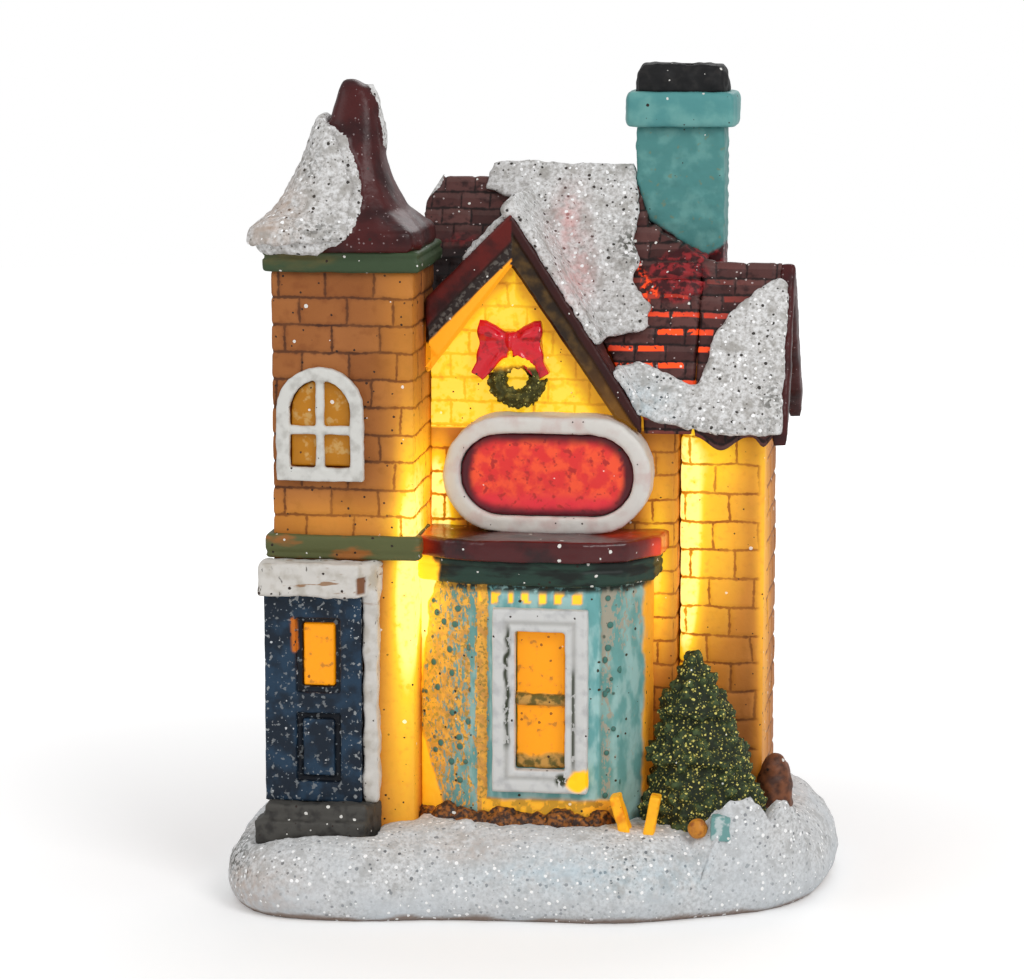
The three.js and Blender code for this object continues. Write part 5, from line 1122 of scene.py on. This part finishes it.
def foliage_paint(name, dark, light, glitter, share, radius):
    paint = Paint(name, 0.6, 0.25)
    # Lighter on the tips, darker in the hollows between them: painted light and shade.
    paint.base(paint.mix("tip", dark, light))
    paint.over(dark, paint.patches(0.5, 0.7, 0.6, 2, 4))
    paint.fleck((132, 124, 54), 0.42, 0.8 * radius, share, 45)
    paint.fleck(glitter, 0.55, radius, share, 5)
    paint.fleck((240, 240, 226), 1.6, 0.15, 0.3, 25)
    paint.grain(0.35, 0.15, 0.7)
    return paint


def tufts(size, height, seed):
    """Leafy lumps, painted lighter on their tips and darker in the hollows: painted light and shade."""
    def relief(piece, p):
        big, _ = cells(p, size, seed)
        small, _ = cells(p, size * 0.45, seed + 7)
        tip = fade(0.62, 0.1, big / size)
        fine = fade(0.6, 0.1, small / size / 0.45)
        push(piece, height * (tip - 0.45) + 0.4 * height * (fine - 0.4))
        store(piece, tip=np.clip(0.65 * tip + 0.35 * fine, 0, 1))
    return relief


WREATH = foliage_paint("wreath_leaves", (62, 60, 22), (132, 124, 62), (222, 214, 120), 0.6, 0.1)
FIR = foliage_paint("fir_needles", (32, 40, 24), (84, 102, 62), (222, 210, 112), 0.9, 0.14)
WREATH.over((240, 180, 34), "lit")
WREATH.glowing("lit", GLOW)


def wreath_relief(piece, p):
    """Leafy below, left in the wall's yellow at the top."""
    tufts(0.95, 0.42, 140)(piece, p)
    p = points(piece)
    store(piece, lit=0.75 * fade(74.2, 75.4, p[:, 2] + 0.8 * fractal(p, 1.5, 2, 143)))


dressed("wreath", WREATH, "wreath_green", 0.17, 1, wreath_relief)
dressed("pine_tree", FIR, "fir_green", 0.34, 1, cast(0.5, 4.5, 0.1), tufts(1.9, 0.95, 150))

BOW = coated(
    "bow_gloss", (224, 18, 40), (160, 8, 24), share=(0.5, 0.7), size=1.2, roughness=0.26,
    white=0.1, dark=0.1, Coat_Weight=0.6, Coat_Roughness=0.1,
)


def folds(piece, p):
    """Creases that fan out from the bow's knot."""
    x, z = p[:, 0] + 3.4, p[:, 2] - 78.4
    away = np.hypot(x, z)
    crease = np.cos(9 * np.arctan2(z, np.abs(x)) + 0.6 * away)
    push(piece, 0.02 + 0.16 * crease * fade(1.2, 2.4, away) * fade(-6.4, -7.2, p[:, 1]))


dressed("bow", BOW, "red_enamel", 0.16, 3, folds)

# Chimney


def chimney_paint():
    """Stippled teal over a red-brown foot."""
    paint = coated("chimney_teal", (78, 138, 136), (100, 156, 152), (0.45, 0.7), 2.4, 0.42, 0.12, 0.4)
    worn = paint.patches(0.62, 0.72, 1.0, 3, 46)
    paint.over((120, 128, 96), worn, 0.6)
    low = paint.mix(paint.patches(0.45, 0.6, 1.1, 3, 6), (64, 20, 24), (132, 34, 38))
    low = paint.mix(paint.specks(0.8, 0.14, 0.5, 19), low, (216, 200, 200))
    paint.over(low, "foot")
    return paint


def stipple(piece, p):
    near, _ = cells(p, 1.5, 160)
    push(piece, 0.05 + 0.1 * fractal(p, 1.6, 2, 161) + 0.16 * fade(0.9, 0.2, near))
    line = np.interp(p[:, 0], [12.5, 14.3, 17.6, 20.0, 22.6, 25.6], [97.0, 94.4, 92.6, 90.4, 89.6, 91.4])
    store(piece, foot=fade(0.35, -0.1, p[:, 2] - line - 0.4 * fractal(p, 2.4, 2, 165)))


TEAL = coated("collar_teal", (82, 146, 146), (108, 166, 162), size=4, roughness=0.42, white=0.15, dark=0.35)
SOOT = coated("soot_black", (16, 16, 18), (34, 32, 32), size=1.4, roughness=0.6, white=1.0, dark=0.0)
dressed("chimney_stack", chimney_paint(), "teal", 0.36, 3, stipple)
dressed("chimney_collar", TEAL, "teal", 0.3, 4, cast(0.14, 2.6))
dressed("chimney_cap", SOOT, "soot_black", 0.28, 2, cast(0.28, 1.8, 0.1))

# Garden

STONE = coated("stone_brown", (128, 76, 48), (76, 46, 34), share=(0.36, 0.7), size=1.2, white=0.4, dark=0.4)
EDGING = coated("stone_lit", (150, 90, 36), (58, 40, 32), share=(0.36, 0.6), size=0.6, white=0.4, dark=0.4)
EDGING.glowing(EDGING.patches(0.6, 0.7, 1.3, 3, 66), (0.3, 0.1, 0.004))
ORANGE_GLOW = coated("orange_paint", (242, 172, 34), (220, 120, 20), share=(0.5, 0.7), size=1.6, white=0.1)
# The slabs' orange glow is painted light.
ORANGE_GLOW.glowing(ORANGE_GLOW.noise(2, 2, 3), [(0.3, (0.1, 0.04, 0, 1)), (0.8, (0.4, 0.2, 0.0, 1))])
BALL = coated("ball_orange", (206, 134, 44), (156, 88, 36), size=1.1, white=0.3)
PARCEL = coated("parcel_teal", (112, 158, 156), (190, 204, 204), share=(0.48, 0.6), size=1.2, white=0.6)
dressed("rock_edging", EDGING, "stone_brown", 0.26, 2, cast(0.5, 1.5, 0.2, 0.7, 0.25))
dressed("corner_rock", STONE, "stone_brown", 0.32, 2, cast(0.5, 2.4, 0.16))
dressed("tree_ball", BALL, "orange", 0.12, 2, cast(0.12, 1.2, 0.05))
dressed("small_parcel", PARCEL, "teal", 0.14, 3, cast(0.18, 1.4, 0.06))
for node in ("left_slab", "right_slab"):
    dressed(node, ORANGE_GLOW, "orange", 0.14, 3, cast(0.16, 1.6, 0.05))

# Light module


def moulded_plastic(name, color, other):
    paint = Paint(name, 0.45, 0.5)
    paint.base(paint.mix(paint.patches(0.4, 0.7, 5, 3), color, other))
    paint.bump(paint.noise(0.25, 2, 4), 0.02, 0.4)
    return paint


def brushed_metal(name, color, other, roughness, stretch=(4, 1, 1)):
    paint = Paint(name, roughness, 0.5, Metallic=1.0)
    paint.base(paint.mix(paint.patches(0.35, 0.7, 0.5, 3, 2, stretch), color, other))
    paint.bump(paint.noise(0.2, 2, 4, stretch), 0.01, 0.3)
    return paint


HOUSING = moulded_plastic("housing_plastic", (214, 212, 206), (206, 203, 196))
KNOB = moulded_plastic("switch_plastic", (34, 34, 36), (44, 44, 46))
WIRE = moulded_plastic("wire_red", (170, 30, 28), (152, 24, 24))
LAMP = moulded_plastic("lamp_lens", (236, 216, 150), (228, 202, 130))
LIGHT = LAMP.mix(LAMP.patches(0.3, 0.7, 2, 2, 3), (1.0, 0.72, 0.28, 1), (1.0, 0.8, 0.4, 1))
LAMP.set("Emission Color", LIGHT)
LAMP.set("Emission Strength", 1.5)
BOARD = moulded_plastic("board_mask", (30, 92, 52), (36, 104, 60))
RESISTOR = moulded_plastic("resistor_body", (196, 168, 120), (180, 150, 104))
CELL = brushed_metal("cell_steel", (190, 190, 188), (170, 170, 168), 0.28, (1, 1, 1))
SCREW = brushed_metal("screw_steel", (176, 176, 174), (150, 150, 148), 0.35)
CONTACT = brushed_metal("contact_nickel", (200, 196, 184), (182, 176, 160), 0.3)
for nodes, paint in (
    (("module_housing", "battery_door", "switch_body"), HOUSING),
    (("switch_slider",), KNOB),
    (("door_screw",), SCREW),
    (("cell_1", "cell_2", "cell_3"), CELL),
    (("spring_contact", "plate_contact", "switch_lead_1", "switch_lead_2"), CONTACT),
    (("circuit_board",), BOARD),
    (("resistor",), RESISTOR),
    (("led_left", "led_right"), LAMP),
    (("led_wire_left", "led_wire_right"), WIRE),
):
    for node in nodes:
        NODES[node].data.materials.clear()
        NODES[node].data.materials.append(paint.material)


# Stage, camera and light

FLOOR_RADIUS = 0.9
FLOOR_CORNERS = 96
FLOOR_WHITE = (0.86, 0.86, 0.86, 1)
FLOOR_LIFT = (0.2, 0.5)
AMBIENT = 0.6


def ranged(tree, value, from_range, to_range):
    """Linear map of a value."""
    made = tree.nodes.new("ShaderNodeMapRange")
    tree.links.new(value, made.inputs["Value"])
    for name, number in zip(("From Min", "From Max", "To Min", "To Max"), (*from_range, *to_range)):
        made.inputs[name].default_value = number
    return made.outputs[0]


def stage():
    """White floor, which the camera sees lit a little from itself, more so further out, to hide its edge."""
    mesh = bpy.data.meshes.new("floor")
    turns = np.linspace(0, 2 * math.pi, FLOOR_CORNERS, endpoint=False)
    corners = [(math.cos(a) * FLOOR_RADIUS, math.sin(a) * FLOOR_RADIUS, 0) for a in turns]
    mesh.from_pydata(corners, [], [list(range(FLOOR_CORNERS))])
    paint = Paint("floor_white", 0.5)
    place = paint.node("TexCoord").outputs["Object"]
    away = paint.node("VectorMath", {0: place}, operation="LENGTH").outputs["Value"]
    seen = paint.node("LightPath").outputs["Is Camera Ray"]
    lift = paint.times(seen, ranged(paint.tree, away, (0.05, 0.2), FLOOR_LIFT))
    matt = paint.node("BsdfDiffuse", {0: FLOOR_WHITE})
    glow = paint.node("Emission", {"Strength": lift})
    both = paint.node("AddShader", {0: matt.outputs[0], 1: glow.outputs[0]})
    paint.plug(both.outputs[0], paint.tree.nodes["Material Output"].inputs["Surface"])
    paint.tree.nodes.remove(paint.shader)
    mesh.materials.append(paint.material)
    linked("floor", mesh)


def world():
    """Even light; the camera itself sees plain white."""
    made = bpy.data.worlds.new("studio")
    bpy.context.scene.world = made
    made.use_nodes = True
    tree = made.node_tree
    back = tree.nodes["Background"]
    back.inputs["Color"].default_value = (1, 1, 1, 1)
    path = tree.nodes.new("ShaderNodeLightPath")
    strength = ranged(tree, path.outputs["Is Camera Ray"], (0, 1), (AMBIENT, 1))
    tree.links.new(strength, back.inputs["Strength"])


def lamp(name, place, target, size, power):
    light = bpy.data.lights.new(name, "AREA")
    light.shape = "DISK"
    light.size = size
    light.energy = power
    made = linked(name, light)
    made.location = place
    made.rotation_euler = (Vector(target) - Vector(place)).to_track_quat("-Z", "Y").to_euler()


AZIMUTH, ELEVATION, DISTANCE = math.radians(8), math.radians(9), 560.0
MM_PER_PX = 0.1445
IMAGE_WIDTH = 1024
SENSOR = 36.0
TARGET = Vector((0, 2.3, 60))
AIM_OFFSET = (-31, -26.5)


def camera():
    a, e = AZIMUTH, ELEVATION
    back = Vector((math.sin(a) * math.cos(e), -math.cos(a) * math.cos(e), math.sin(e)))
    right = Vector((math.cos(a), math.sin(a), 0))
    up = back.cross(right)
    aim = right * AIM_OFFSET[0] * MM_PER_PX + up * AIM_OFFSET[1] * MM_PER_PX
    place = TARGET + aim + back * DISTANCE
    data = bpy.data.cameras.new("camera")
    data.sensor_width = SENSOR
    data.sensor_fit = "HORIZONTAL"
    data.lens = DISTANCE / MM_PER_PX * SENSOR / IMAGE_WIDTH
    data.clip_start = 0.01
    made = linked("camera", data)
    turn = Matrix((right, up, back)).transposed().to_4x4()
    made.matrix_world = Matrix.Translation(place * MM) @ turn
    bpy.context.scene.camera = made


stage()
world()
camera()
lamp("key", (0.35, -0.42, 0.45), (0, 0, 0.05), 0.3, 1.5)
lamp("fill", (-0.5, -0.4, 0.4), (0, 0, 0.05), 0.45, 0.7)
lamp("rim", (0.1, 0.5, 0.45), (0, 0, 0.06), 0.4, 0.8)
bpy.context.scene.view_settings.view_transform = "Standard"
